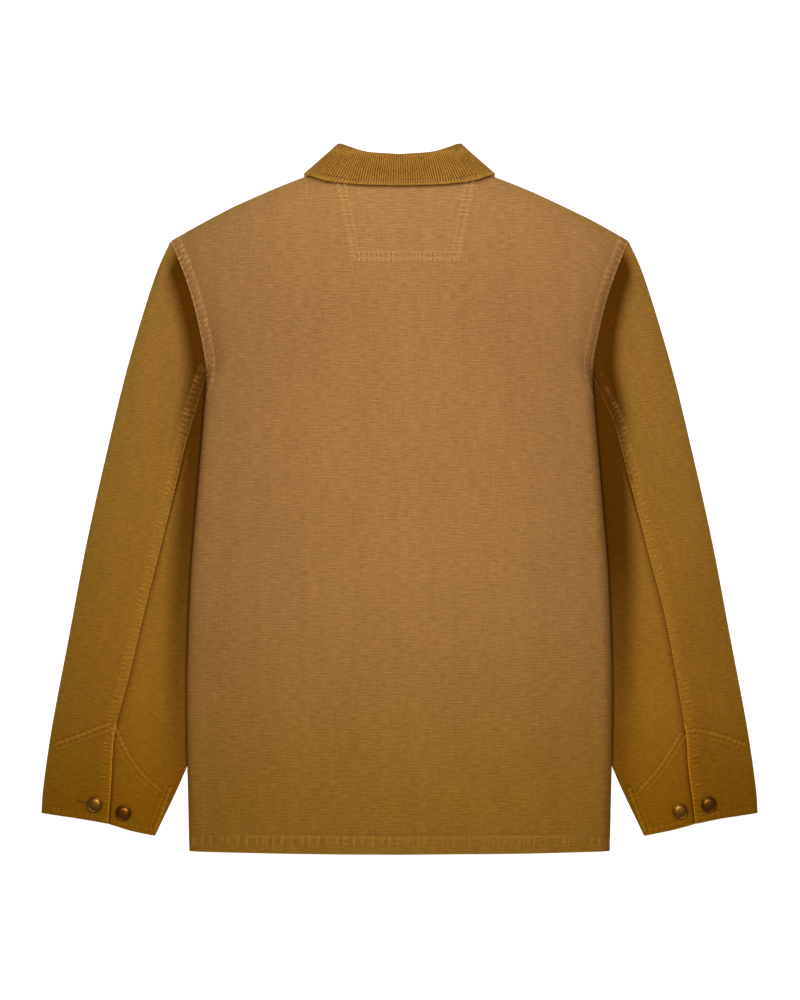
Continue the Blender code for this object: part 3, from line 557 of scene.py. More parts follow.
canvas = makeCanvas("garmentDyedCotton12ozCanvas", canvasSettings["bodyDyeAndFalloff"])
# the sleeves get a darker copy of the canvas: painted shade
shadedSleeveCanvas = makeCanvas("garmentDyedCotton12ozCanvasPaintedShade", canvasSettings["sleeveDyeAndShade"])
corduroy, thread = makeCorduroy(), makeThread()
tackMetal = makeTackMetal("antiquePlatedBrass", "#6f460d", "#b07c2e")
darkTackMetal = makeTackMetal("antiquePlatedBrassDarker", "#5a3206", "#8c5a15")


back = {
    "rows": 270, "panelColumns": 93, "tailColumns": 40, "foldSteps": 14, "stripSteps": 14,
    "unwrapFrom": 96.0, "unwrapRun": 30.0, "armholeFrom": 116.0, "armholeRun": 36.0,
    "stripRiseFrom": -60.0, "kneeGap": 6.0,
    "stripMargin": 3.0, "foldMargin": 3.0, "hemStep": 4.0,
    "hemStitch": 21.5, "hemPucker": 0.42, "hemPitch": 7.0,
    "seamBand": 10.5, "seamUp": 0.6, "seamPucker": 0.5, "seamPitch": 4.6,
    "seamFrom": 118.0, "seamFromRun": 14.0,  # the armhole seam shows from here up
    "seamHidden": 0.7, "hiddenTo": 215.0, "hiddenRun": 45.0,  # and rolls under on the right
    "softTo": 318.0, "softRun": 22.0,  # the unevenness ends below the collar
    # painted shade: the back darkens towards its sides and along its side edges
    "sideShade": {"left": 0.86, "right": 0.62}, "sideRun": 110.0,
    "edgeShade": {"left": 0.5, "right": 1.2}, "edgeRun": {"left": 9.0, "right": 13.0},
}
backCreases = [  # soft, as where it was folded or lay on the shelf: from, by, to, width, depth
    ((-226, 42), (-190, 20), (-142, 12), 13, -0.9), ((-228, 4), (-196, -14), (-158, -18), 10, 0.6),
    ((226, 52), (188, 30), (150, 26), 14, -1.0), ((222, -20), (196, -44), (160, -50), 11, 0.6),
    ((-196, 214), (-160, 190), (-120, 182), 16, -0.7),
    ((200, 222), (158, 196), (112, 190), 18, -0.8),
    ((-60, -270), (-72, -210), (-66, -140), 20, 0.7),
    ((96, -300), (86, -220), (92, -120), 22, -0.8),
    ((-150, -330), (-156, -250), (-148, -160), 18, -0.7),
    ((12, 150), (20, 60), (10, -60), 26, 0.6),
    ((-224, -190), (-196, -206), (-166, -204), 10, -0.6),
    ((226, -240), (200, -262), (170, -262), 10, -0.7),
]


def sidePath(along, turns, strip):  # from the top of the side fold to the seam on the underside
    endAcross = acrossAt(side, along)
    foldEnd = endAcross - body["sideFoldRun"]
    top = float(backUp(np.array([foldEnd, along])))
    foot = float(fromTable(bodyRows, "under", along))
    foldAcross = endAcross - body["sideFoldRun"] * (1.0 - np.sin(turns))
    foldUp = foot + 0.5 * (top - foot) * (1.0 + np.cos(turns))
    seamAcross = min(acrossAt(underSeam, along), foldEnd - back["stripMargin"])
    rise = smooth((along - back["stripRiseFrom"]) / (body["armpitAlong"] - back["stripRiseFrom"]))
    seamUp = min(foot, body["overSleeve"] * float(rise))
    knee = np.clip(acrossAt(sleeveInner, along) - back["kneeGap"],
                   seamAcross + back["stripMargin"], foldEnd - 0.5 * back["stripMargin"])
    stripAcross = np.where(strip <= 1.0, foldAcross[-1] + strip * (knee - foldAcross[-1]),
                           knee + (strip - 1.0) * (seamAcross + cloth["seamGap"] - knee))
    stripUp = foot + (seamUp - foot) * smooth(strip - 1.0)
    return np.concatenate([foldAcross, stripAcross]), np.concatenate([foldUp, stripUp])


def armholeSlope(plan, inward):  # how the back slopes down to the armhole seam, plan's last spot
    top = backUp(plan)
    edge = min(float(fromTable(armholeEdge, "up", plan[-1, 1])), float(top[-1]))
    return edge + (top - edge) * np.sin(0.5 * math.pi * inward / body["armholeDip"])


def backGrid():
    alongs = sharesThrough([hem[-1, 1], body["armpitAlong"], side[-1, 1]], back["rows"])
    turns = np.radians(np.linspace(0.0, 180.0, back["foldSteps"]))
    strip = np.linspace(0.0, 2.0, back["stripSteps"] + 1)[1:]
    panel = np.linspace(0.0, 1.0, back["panelColumns"])
    tail = np.linspace(0.0, 1.0, back["tailColumns"])
    ups = shareAt(side, alongs)
    right = atShare(side, ups)
    centreLine = np.array([hem[0], backNeck[0]])
    topLine = np.vstack([backNeck, shoulder[1:]])
    plan = coons(centreLine, side, hem, topLine, ups, np.linspace(0.0, 1.0, 200))
    half, shown = [], []
    for k, along in enumerate(alongs):
        path = np.column_stack(sidePath(along, turns, strip))
        own = lengthsAlong(path)
        quarterWay = own[len(turns) // 2]
        unwrap = float(smooth((along - back["unwrapFrom"]) / back["unwrapRun"]))
        reach = own[-1] + unwrap * (quarterWay - own[-1])
        ways = reach * tail ** (1.5 - 0.5 * unwrap)
        foldAcross, foldUp = (np.interp(ways, own, path[:, k]) for k in (0, 1))
        dipInward = body["armholeDip"] * (1.0 - tail)
        dipAcross = right[k, 0] - dipInward
        weight = float(smooth((along - back["armholeFrom"]) / back["armholeRun"]))
        tailAcross = (1.0 - weight) * foldAcross + weight * dipAcross
        fade = 1.0 - smooth((ways / quarterWay - 0.5) / 0.5)
        flatAcross = panel * (tailAcross[0] - back["foldMargin"])
        flat = np.column_stack([flatAcross, np.interp(flatAcross, plan[k, :, 0], plan[k, :, 1])])
        slope = (right[k, 1] - flat[-1, 1]) / (right[k, 0] - flat[-1, 0])
        inward = np.minimum(right[k, 0] - tailAcross, body["armholeDip"])
        tailAlong = right[k, 1] - slope * inward
        dipUp = armholeSlope(np.column_stack([dipAcross, tailAlong]), dipInward)
        tailUp = (1.0 - weight) * foldUp + weight * dipUp
        half.append(np.vstack([np.column_stack([flat, backUp(flat)]),
                               np.column_stack([tailAcross, tailAlong, tailUp])]))
        shown.append(np.concatenate([np.ones(len(flat)), (1.0 - weight) * fade + weight]))
    half, shown = np.array(half), np.array(shown)
    return (np.concatenate([half[:, :0:-1] * (-1.0, 1.0, 1.0), half], axis=1),
            np.concatenate([shown[:, :0:-1], shown], axis=1))


def pucked(wavy):  # paler on the rubbed puckers, with a little painted shade between them
    return 2.2 * np.maximum(wavy, 0.0) + 0.8 * np.minimum(wavy, 0.0)


def paintedShadowUnderLeaf(plan):  # a painted shadow, deep brown, close below the collar's edge
    edge = np.array(collarRows["edge"])[:5, :2]
    return -2.8 * bump(nearest(spline(edge, 6), rightHalf(plan))[0] / 4.2)


# a felled seam: a band of doubled cloth with two rows of stitches and puckers between them
def felledBand(gap, along, own, seed):
    width, pitch = own["seamBand"], own["seamPitch"]
    inside = 1.0 - smooth((gap - width + 1.0) / 1.6)
    rows = bump((gap - 1.6) / 1.5) + bump((gap - width + 1.0) / 1.5)
    wavy = (ripples(along, pitch, seed) * bump((gap - 1.8) / 4.6)
            + ripples(along, 1.2 * pitch, seed + 7) * bump((gap - width + 1.6) / 4.6))
    worn = 1.8 * bump((gap - 0.3) / 1.6) + 0.9 * bump((gap - width + 0.2) / 1.5) + 0.45 * inside
    relief = own["seamUp"] * inside - 0.3 * rows + own["seamPucker"] * wavy
    # the rows of stitches are darkened with painted shade
    return relief, worn + pucked(wavy) - 0.6 * rows


def hemRelief(gap, along, own, seed):
    row = own["hemStitch"]
    wavy = ripples(along, own["hemPitch"], seed) * bump((gap - 0.68 * row) / max(0.38 * row, 5.0))
    groove = bump((gap - row) / 1.8)
    rounded = -0.5 * bump(gap / 1.5)
    worn = 0.8 * bump(gap / 1.6) + 0.5 * pucked(wavy) + 0.9 * bump((gap - row + 1.8) / 1.6)
    # the stitch row's groove is darkened with painted shade
    return own["hemPucker"] * wavy - 0.35 * groove + rounded, worn - 0.7 * groove


def hemThickness(gap):
    return cloth["canvas"] + (cloth["hemFold"] - cloth["canvas"]) * (
        1.0 - smooth((gap - cloth["hemDepth"]) / back["hemStep"]))


# the back's soft unevenness, gone where the collar lies on it
def backSoft(plan):
    soft = 0.5 * uneven(plan, 150.0, 13) + 0.16 * uneven(plan, 48.0, 14)
    return (soft + creases(plan, backCreases)) * (
        1.0 - smooth((plan[..., 1] - back["softTo"]) / back["softRun"]))


def addBack():
    grid, shown = backGrid()
    plan = grid[..., :2]
    mirrored = rightHalf(plan)
    fromHem = plan[..., 1] - hem[0, 1]
    seamGap, alongSeam = nearest(armholeRun, mirrored)
    seamShown = smooth((plan[..., 1] - back["seamFrom"]) / back["seamFromRun"])
    band, bandTone = felledBand(seamGap, alongSeam + 900.0 * (plan[..., 0] < 0), back, 11)
    hemUp, hemTone = hemRelief(fromHem, plan[..., 0], back, 12)
    above = smooth((plan[..., 1] - back["hiddenTo"]) / back["hiddenRun"])
    seamShown = seamShown * (1.0 - back["seamHidden"] * (plan[..., 0] > 0) * (1.0 - above))
    relief = backSoft(plan) + hemUp + band * seamShown
    inward = acrossAt(side, plan[..., 1]) - mirrored[..., 0]
    sideShade, edgeShade, edgeRun = (
        np.where(plan[..., 0] < 0, back[kind]["left"], back[kind]["right"])
        for kind in ("sideShade", "edgeShade", "edgeRun"))
    # painted shade, darker towards the sides and along the side edges
    paintedShade = sideShade * np.exp(-inward / back["sideRun"]) + edgeShade * bump(inward / edgeRun)
    tone = hemTone + bandTone * seamShown - paintedShade + paintedShadowUnderLeaf(plan)
    addCloth("canvasBack", "back", grid, canvas, hemThickness(fromHem), relief * shown, tone)


fronts = {"rows": 90, "columns": 60, "closingColumns": 16, "closingRun": (2.0, 14.0),
          "armholeRow": 140.0, "hemUp": 0.1}


def frontGrid(innerLayer):
    rightLine = np.vstack([underSeam, visibleArmhole]) - (0.5 * cloth["seamGap"], 0.0)
    end, overlap = body["closingEnd"], body["overlap"]
    alongs = sharesThrough([rightLine[0, 1], body["armpitAlong"], fronts["armholeRow"],
                            rightLine[-1, 1]],
                           fronts["rows"])
    ups = shareAt(rightLine, alongs)
    closingTop = np.vstack([frontNeck[frontNeck[:, 0] < end],
                            (end, np.interp(end, frontNeck[:, 0], frontNeck[:, 1]))])
    restTop = np.vstack([closingTop[-1:], frontNeck[frontNeck[:, 0] > end], shoulder[1:-1],
                         rightLine[-1:]])
    hemAlong = hem[0, 1] + fronts["hemUp"]
    hemMiddle, hemEdge = np.array([end, hemAlong]), np.array([-overlap, hemAlong])
    closingLine = np.array([hemMiddle, closingTop[-1]])
    closing = coons(np.array([hemEdge, closingTop[0]]), closingLine,
                    np.array([hemEdge, hemMiddle]), closingTop, ups,
                    np.linspace(0.0, 1.0, fronts["closingColumns"]))
    rest = coons(closingLine, rightLine, np.array([hemMiddle, rightLine[0]]), restTop,
                 ups, np.linspace(0.0, 1.0, fronts["columns"] - fronts["closingColumns"] + 2)[1:])
    plan = np.concatenate([closing, rest], axis=1)
    up = frontUp(plan, lowHem=not innerLayer)
    if innerLayer:
        gap, run = fronts["closingRun"]
        past = smooth((plan[..., 0] - overlap - gap) / run)
        up = up + (cloth["hemFold"] + cloth["lapGap"]) * (1.0 - past)
    return np.concatenate([plan, up[..., None]], axis=2)[:, ::-1]


def addFronts():
    for name, node, innerLayer in (("canvasFrontLeft", "front_left", False),
                                   ("canvasFrontRight", "front_right", True)):
        grid = frontGrid(innerLayer)
        thickness = hemThickness(grid[..., 1] - hem[0, 1])
        addCloth(name, node, grid, canvas, thickness, left=not innerLayer)


sleeves = {
    "rows": 402, "seamHalf": 0.003, "seamTurnWidth": 36.0, "placketRun": 0.03,
    "seamBand": 10.0, "seamUp": 0.8, "seamPucker": 0.5, "seamPitch": 4.2,
    "hemStitch": 8.0, "hemPucker": 0.36, "hemPitch": 5.0,
    "wedgeUp": 0.6, "wedgeWidth": 1.9, "wedgeRows": 5.0, "wedgePitch": 5.5,
    "buttonFrom": 8.0, "buttonRun": 9.0, "buttonShade": 3.5,  # cloth lies flat round a button
    # painted shade in the valley beside the body: where it starts, how wide it is, and how dark
    "valleyFrom": 5.0, "valleyRun": 26.0, "fadedMiddle": 50.0, "fadedHalf": 48.0,
    "valleyTone": {"left": -2.5, "right": -3.0}, "fadedTone": {"left": 0.9, "right": 1.3},
    "placketWornAndHighlight": 7.0, "placketLong": 106.0,
}
# In the lists for the sleeves, spots are across and along as on the right sleeve.
cuffButtons = {
    "button": {"left": (334.8, -335.0), "right": (339.9, -335.0)},
    "spare": {"left": (303.4, -344.5), "right": (308.3, -342.5)},
}
cuffSlit = np.array([(353.8, -331.0), (344.0, -334.4)])  # of the left buttonhole
sleeveCreases = {
    "left": [
        ((262, 226), (262, 150), (252, 84), 9, -1.3), ((276, 214), (286, 140), (288, 60), 12, 1.0),
        ((300, 110), (312, 30), (318, -60), 14, -0.9), ((262, 40), (282, -20), (290, -90), 9, 0.7),
        ((330, -20), (342, -110), (350, -200), 13, -0.7),
        ((300, -120), (312, -190), (322, -250), 9, 0.6),
        ((262, -150), (276, -210), (282, -280), 9, -0.9),
        ((352, -230), (358, -280), (366, -330), 9, 0.6),
        ((248, -96), (262, -110), (280, -108), 7, -0.6),
        ((330, -262), (346, -270), (366, -262), 7, -0.5),
    ],
    "right": [
        ((258, 220), (258, 160), (246, 100), 9, -1.2),
        ((272, 224), (280, 150), (292, 80), 13, 1.1),
        ((304, 80), (316, 0), (328, -70), 13, -0.8), ((250, 10), (270, -40), (284, -120), 9, 0.8),
        ((336, -60), (350, -150), (356, -230), 14, -0.8),
        ((296, -90), (306, -170), (318, -230), 9, 0.5),
        ((250, -190), (266, -240), (286, -300), 9, -0.9),
        ((360, -200), (366, -260), (372, -320), 8, 0.5),
        ((262, -40), (276, -56), (296, -52), 7, -0.6),
        ((318, -200), (336, -212), (358, -206), 8, -0.6),
    ],
}
wedges = {  # stitched edges of the facing in each cuff: outer and inner side, and along the fold
    "left": [spline([(380.6, -270.0), (334.4, -252.9), (317.0, -246.0)]),
             spline([(313.0, -247.6), (301.6, -274.5), (286.0, -298.6), (263.0, -320.0)]),
             spline([(252.0, -318.0), (260.5, -341.0), (269.5, -364.0)])],
    "right": [spline([(380.4, -270.6), (352.0, -259.6), (323.6, -253.0)]),
              spline([(309.4, -257.0), (286.0, -294.5), (263.4, -320.4)]),
              spline([(252.4, -318.0), (260.8, -341.0), (269.8, -364.0)])],
}


def sleevePoints(left, right, cuffLine, top, ups, shares, upper=True, drop=0.0):
    plan = coons(left, right, cuffLine, top, ups, shares)
    fromInner = np.linalg.norm(plan - atShare(sleeveInner, ups)[:, None], axis=2)
    fromOuter = np.linalg.norm(plan - atShare(sleeveOuter, ups)[:, None], axis=2)
    up = (sleeveUp if upper else sleeveDown)(plan, fromInner, fromOuter) - drop
    return np.concatenate([plan, up[..., None]], axis=2)


def lowerPoints(ups, shares):
    cuffLine = np.vstack([cuffInner, cuffOuter[1:]])
    return sleevePoints(sleeveInner, sleeveOuter, cuffLine, sleeveHead, ups, shares, upper=False)


def sleeveTopGrid(ups):
    outward = np.sin(0.5 * math.pi * np.linspace(0.0, 1.0, 70)) * 0.995  # closer on the fold
    upper = sleevePoints(backSeam, sleeveOuter, cuffOuter, tuckedHead, ups, outward)
    seam = arm["underarmStrip"] + sleeves["seamHalf"]
    inward = seam + (1.0 - seam) * np.cos(0.5 * math.pi * np.linspace(0.0, 1.0, 30))
    grid = np.concatenate([upper, lowerPoints(ups, inward)], axis=1)
    shown = np.concatenate([1.0 - smooth((outward - 0.86) / 0.13), np.zeros(len(inward))])
    return grid, shown


def sleeveUnderGrid(ups):
    near = (1.0 - np.cos(0.5 * math.pi * np.linspace(0.0, 1.0, 12)))[::-1]
    lower = lowerPoints(ups, near[:-1] * (arm["underarmStrip"] - sleeves["seamHalf"]))
    across = (1.0 - np.cos(0.5 * math.pi * np.linspace(0.0, 1.0, 67))) * 0.982
    drops = arm["lapDrop"] * smooth((across - 0.93) / 0.052)
    upper = sleevePoints(sleeveInner, backSeam, cuffInner, headInner, ups, across, drop=drops)
    placket = 1.0 - smooth((ups - arm["placketShare"]) / sleeves["placketRun"])[:, None]
    laps = []
    for share in (0.25, 0.5, 0.75, 1.0):
        ends = [sleevePoints(backSeam, sleeveOuter, cuffOuter, headOuter, ups, [share * lap],
                             drop=arm["lapDrop"])[:, 0]
                for lap in (arm["seamLap"], arm["placketLap"])]
        laps.append((1.0 - placket) * ends[0] + placket * ends[1])
    grid = np.concatenate([lower, upper, np.stack(laps, axis=1)], axis=1)
    fade = smooth((across - 0.06) / 0.1) * (1.0 - smooth((across - 0.86) / 0.09))
    return grid, np.concatenate([np.zeros(len(lower[0])), fade, np.zeros(4)])


rightSeam = {  # the right sleeve is turned a little more, which moves its seam outwards
    "along": [-372, -331, -287, -243, -198, -155, -110, -66, -22, 58, 100, 180],
    "out": [5.5, 3.8, 0.8, 1.9, 7.0, 9.2, 10.2, 9.4, 9.0, 7.7, 8.5, 0.0],
}


def seamMoved(plan, which):
    if which == "left":
        return plan
    moved = np.array(plan)
    fromSeam = plan[..., 0] - acrossAt(backSeam, plan[..., 1])
    beyond = beyondBody(plan) - 2.0
    moved[..., 0] += (fromTable(rightSeam, "out", plan[..., 1]) * smooth(beyond / 14.0)
                      * bump(fromSeam / sleeves["seamTurnWidth"]))
    return moved


# the relief that both pieces of a sleeve share, in plan, and its tone: where the cloth is worn,
# and painted shade in the valley beside the body, round the buttons and beside the facing's edges
def sleeveRelief(plan, which, seed):
    beyond = beyondBody(plan)
    relief = 0.42 * uneven(plan, 95.0, seed) + 0.15 * uneven(plan, 34.0, seed + 1)
    relief = relief + creases(plan, sleeveCreases[which])
    fromHem, alongHem = nearest(np.vstack([cuffInner, cuffOuter[1:]]), plan)
    hemUp, tone = hemRelief(fromHem, alongHem, sleeves, seed + 2)
    relief = relief + hemUp
    for line in wedges[which]:
        for inset, strength in ((0.0, 1.0), (sleeves["wedgeRows"], 0.4)):
            gap, along = nearest(movedOut(line[::2], -inset), plan)
            ridge = strength * bump(gap / sleeves["wedgeWidth"])
            wavy = ripples(along, sleeves["wedgePitch"], seed + 3)
            wavy = strength * wavy * bump(gap / 4.5)
            relief = relief + sleeves["wedgeUp"] * ridge + 0.35 * wavy
            # paler on the rubbed ridge, with a line of painted shade beside it
            tone = tone + 2.4 * ridge + 0.6 * pucked(wavy) - strength * bump((gap - 3.2) / 1.6)
    for spots in cuffButtons.values():
        beside = np.linalg.norm(plan - spots[which], axis=-1) - sleeves["buttonFrom"]
        relief = relief * smooth(beside / sleeves["buttonRun"])
        # painted shadow in a ring round each button
        tone = tone - 1.2 * bump(beside / sleeves["buttonShade"])
    # painted shade in the valley beside the body, wider in some rows
    wider = fromTable(sleeveRows, "wider" + which.capitalize(), plan[..., 1])
    valley = 1.0 - smooth((beyond - sleeves["valleyFrom"] - wider) / sleeves["valleyRun"])
    valley = valley * fromTable(sleeveRows, "valley", plan[..., 1])
    faded = fromTable(sleeveRows, "faded", plan[..., 1]) * bump(
        (beyond - sleeves["fadedMiddle"]) / sleeves["fadedHalf"])
    tone = tone + sleeves["fadedTone"][which] * faded
    tone = tone * smooth(beyond / 4.0) + sleeves["valleyTone"][which] * valley
    return relief * smooth(beyond / 9.0), tone


def addSleeve(which, seed):
    ups = sharesThrough([0.0, arm["placketShare"], 1.0], sleeves["rows"])
    seamLine = seamMoved(backSeam[::3], which)
    for layer, layerGrid in (("top", sleeveTopGrid), ("under", sleeveUnderGrid)):
        grid, shown = layerGrid(ups)
        grid = seamMoved(grid, which)
        plan = grid[..., :2]
        relief, tone = sleeveRelief(plan, which, seed)
        gap, along = nearest(seamLine, plan)
        beyond = smooth(beyondBody(plan) / 5.0)
        if layer == "top":
            band, bandTone = felledBand(gap, along, sleeves, seed + 5)
            opened = 1.0 - smooth((plan[..., 1] - backSeam[0, 1] - sleeves["placketLong"]) / 8.0)
            # the placket's folded edge is rubbed paler and also carries a painted highlight
            rubbed = sleeves["placketWornAndHighlight"] * opened * bump(gap / 2.0)
            relief = relief + band * beyond
            tone = (tone + bandTone * beyond + rubbed) * shown
            if which == "left":
                # a painted shadow in the slit of the left buttonhole
                tone = tone - 3.0 * bump(nearest(cuffSlit, plan)[0] / 1.7)
        else:
            # painted shade in the ditch beside the lapped seam
            ditch = bump(gap / 3.2)
            wavy = ripples(along, sleeves["seamPitch"], seed + 6)
            relief = relief - 0.4 * ditch + 0.25 * wavy * bump(gap / 9.0)
            tone = tone - 3.0 * ditch * beyond
        addCloth("canvasSleeve" + layer.capitalize() + which.capitalize(),
                 "sleeve_%s_%s" % (layer, which), grid, shadedSleeveCanvas, cloth["canvas"],
                 relief * shown, tone, left=which == "left")


collarRows = {  # neck seam, roll, outer edge, and which way the leaf faces in degrees
    "seam": [(0, 353.0, 21.6), (40, 355.2, 21.5), (66, 359.9, 20.6), (79, 364.5, 14.0),
             (83.5, 366.5, 8.6), (80.4, 364.2, 7.2), (77.6, 357.0, 6.2), (74, 339.0, 6.0),
             (54, 307.5, 6.0), (27.5, 290.4, 6.0), (6, 285.9, 6.0)],
    "roll": [(0, 375.4, 45.0), (35, 378.2, 44.2), (54, 384.4, 39.0), (62, 388.4, 29.0),
             (65, 389.06, 17.5), (65, 386.5, 11.0), (63, 377.0, 6.0), (57, 360.0, 3.2),
             (41, 328.0, 3.2), (21, 310.0, 3.2), (8, 303.0, 3.2)],
    "edge": [(0, 343.4, 28.6), (45, 344.6, 28.6), (80, 348.8, 27.0), (96.2, 354.6, 21.0),
             (104.6, 358.2, 9.8), (105.4, 357.0, 3.6), (103.0, 345.5, 0.5), (99.0, 328.0, 0.3),
             (91.5, 292.0, 0.3), (80.0, 265.0, 0.3), (66.0, 249.0, 0.3)],
    "turn": [0, 0, 25, 60, 100, 130, 160, 180, 180, 180, 180],
}
collar = {
    "rollRadius": 2.85, "fineStep": 0.42, "coarseStep": 2.0, "waleWidth": 2.5, "waleUp": 0.42,
    "stitchIn": 5.5, "leaf": 38.0, "underGap": 0.3, "underThick": 0.9,
    "standSteps": 9, "rollSteps": 12, "leafSteps": 21,
}


# from the neck seam over the roll to the outer edge, with the way round to each station and
# the way from each point to the outer edge
def collarGrid(step):
    table = np.column_stack([collarRows[name] for name in ("seam", "roll", "edge", "turn")])
    line = spline(table, 40)
    around = lengthsAlong(0.5 * (line[:, 3:6] + line[:, 6:9]))
    count = skinStride * math.ceil(around[-1] / step / skinStride)
    places = np.linspace(0.0, around[-1], count + 1)
    line = np.column_stack([np.interp(places, around, column) for column in line.T])
    seam, roll, edge = line[:, 0:3], line[:, 3:6], line[:, 6:9]
    turn = np.radians(line[:, 9:])
    out = roll - 0.5 * (seam + edge)
    out /= np.linalg.norm(out, axis=1, keepdims=True)
    facing = np.column_stack([np.sin(turn), np.zeros(len(turn)), np.cos(turn)])
    facing -= out * (facing * out).sum(1, keepdims=True)
    facing /= np.linalg.norm(facing, axis=1, keepdims=True)
    middle = roll - collar["rollRadius"] * out
    arc = [middle + collar["rollRadius"] * (math.cos(t) * out + math.sin(t) * facing)
           for t in np.radians(np.linspace(-90.0, 90.0, collar["rollSteps"] + 1))]
    stand = [seam + (arc[0] - seam) * share
             for share in np.linspace(0.0, 1.0, collar["standSteps"] + 1)[:-1]]
    leaf = [arc[-1] + (edge - arc[-1]) * share
            for share in np.linspace(0.0, 1.0, collar["leafSteps"] + 1)[1:]]
    half = np.stack(stand + arc + leaf, axis=1)
    half[0, :, 0] = 0.0
    grid = np.concatenate([half[:0:-1] * (-1.0, 1.0, 1.0), half])
    toEdge = np.linalg.norm(grid - grid[:, -1:], axis=2)
    return grid, np.concatenate([-places[:0:-1], places])[:, None], toEdge


def addCollar():
    grid, around, toEdge = collarGrid(collar["fineStep"])
    groove = bump((toEdge - collar["stitchIn"]) / 1.5)
    spread = np.stack([around + 0.0 * toEdge, toEdge], axis=-1)
    lean = 0.35 * uneven(spread, 26.0, 21)
    phase = math.pi * (around + lean) / collar["waleWidth"]
    wale = np.abs(np.cos(phase)) ** 0.8 - 0.45
    worn = 1.0 - 0.25 * smooth(uneven(spread, 40.0, 22))
    pile = collar["waleUp"] * wale * worn * (1.0 - 0.8 * groove) - 0.3 * groove
    pile = pile - 0.45 * bump(toEdge / 1.6)
    roll = bump((toEdge - collar["leaf"]) / 6.0)
    rubbed = bump((toEdge - 7.5) / 4.5) * (1.0 + 0.8 * ripples(around, 3.4, 23))
    # painted highlight on the wale crests and painted shade in their furrows and in the stitch
    # groove; paler at the roll and the outer edge, where it is rubbed and also has a painted
    # highlight
    tone = wale * worn - 0.5 * groove + 0.5 * bump((toEdge - 1.2) / 2.0) + 0.22 * roll
    tone = tone + 0.14 * (toEdge < collar["stitchIn"]) + 0.42 * np.maximum(wale, 0.0) * rubbed
    addCloth("corduroyCollar", "collar", grid, corduroy, cloth["collarLayer"],
             tone=tone, pile=pile)
    grid = collarGrid(collar["coarseStep"])[0]
    inside = grid - normalsOf(grid) * (cloth["collarLayer"] + collar["underGap"])
    addCloth("canvasUnderCollar", "under_collar", inside, canvas, collar["underThick"])


patch = {
    "bottom": (59.5, 260.7), "top": (77.0, 349.0), "shift": 6.5, "thick": 1.0, "gap": 0.6,
    "rows": (1.9, 8.6), "puckerUp": 0.42, "puckerPitch": 4.4, "acrossSpots": 163, "alongSpots": 91,
}


def patchPlan(inset, shares, ups):  # spots on the patch, the sides and bottom moved in
    right = np.array([patch["bottom"]]) + np.subtract(patch["top"], patch["bottom"]) * ups[:, None]
    right = right - (inset, 0.0)
    return np.stack([right[:, :1] * shares + patch["shift"], right[:, 1:] + 0.0 * shares], axis=2)


def addPatch():
    plan = patchPlan(0.0, np.linspace(-1.0, 1.0, patch["acrossSpots"]),
                     np.linspace(0.0, 1.0, patch["alongSpots"]))
    up = backUp(plan) + patch["gap"] + patch["thick"]
    grid = np.concatenate([plan, up[..., None]], axis=2)
    sides = abs(plan[:, -1:, 0] - patch["shift"]) - abs(plan[..., 0] - patch["shift"])
    fromEdge = np.minimum(sides, plan[..., 1] - patch["bottom"][1])
    along = np.where(sides < plan[..., 1] - patch["bottom"][1], plan[..., 1], plan[..., 0])
    rows = sum(bump((fromEdge - row) / 1.5) for row in patch["rows"])
    wavy = ripples(along, patch["puckerPitch"], 31) * sum(
        bump((fromEdge - row) / 3.4) for row in patch["rows"])
    relief = np.maximum(backSoft(plan), -0.2)
    pile = patch["puckerUp"] * wavy - 0.28 * rows - 0.5 * bump(fromEdge / 1.4)
    pale = sum(bump((fromEdge - row - 1.6) / 1.4) for row in patch["rows"])
    # the rows of stitches are darkened with painted shade
    tone = 0.9 * bump((fromEdge - 0.3) / 1.3) + 1.1 * pale + pucked(wavy) - 0.5 * rows
    # the painted shadow below the collar's edge falls on the patch too
    tone = tone + paintedShadowUnderLeaf(plan)
    addCloth("canvasNeckPatch", "neck_patch", grid, canvas, patch["thick"], relief, tone, pile)


buttons = {"radius": 8.6, "up": 3.4, "lift": 0.7, "sides": 72,
           "alongFront": (232.0, 122.0, 12.0, -98.0, -208.0),
           "darker": (("button", "right"), ("spare", "left"))}
buttonProfile = {  # radius and height as shares: base, rolled rim, groove and the domed middle
    "radius": [0.0, 0.45, 0.8, 0.93, 0.985, 1.0, 0.985, 0.955, 0.915, 0.885, 0.86, 0.83, 0.77,
               0.64, 0.45, 0.2, 0.0],
    "up": [0.0, 0.0, 0.02, 0.08, 0.18, 0.32, 0.48, 0.57, 0.57, 0.50, 0.44, 0.47, 0.66, 0.84, 0.95,
           0.995, 1.0],
}


def skinAt(spot):
    plan = np.array(spot, float).reshape(1, 2)
    fromInner, fromOuter = nearest(sleeveInner, plan)[0], nearest(sleeveOuter, plan)[0]
    return float(sleeveUp(plan, fromInner, fromOuter)[0])


def buttonPoints():
    turns = np.linspace(0.0, 2.0 * math.pi, buttons["sides"], endpoint=False)
    ring = np.column_stack([np.cos(turns), np.sin(turns)]) * buttons["radius"]
    rows = [np.column_stack([ring * r, np.full(len(ring), buttons["up"] * u)])
            for r, u in zip(buttonProfile["radius"][1:-1], buttonProfile["up"][1:-1])]
    points = np.vstack(rows + [[(0.0, 0.0, 0.0)], [(0.0, 0.0, buttons["up"])]])
    sides, count = buttons["sides"], len(rows)
    faces = [(r * sides + k, r * sides + (k + 1) % sides, (r + 1) * sides + (k + 1) % sides,
              (r + 1) * sides + k) for r in range(count - 1) for k in range(sides)]
    base, cap = count * sides, count * sides + 1
    last = (count - 1) * sides
    faces += [((k + 1) % sides, k, base) for k in range(sides)]
    faces += [(last + k, last + (k + 1) % sides, cap) for k in range(sides)]
    return points, faces


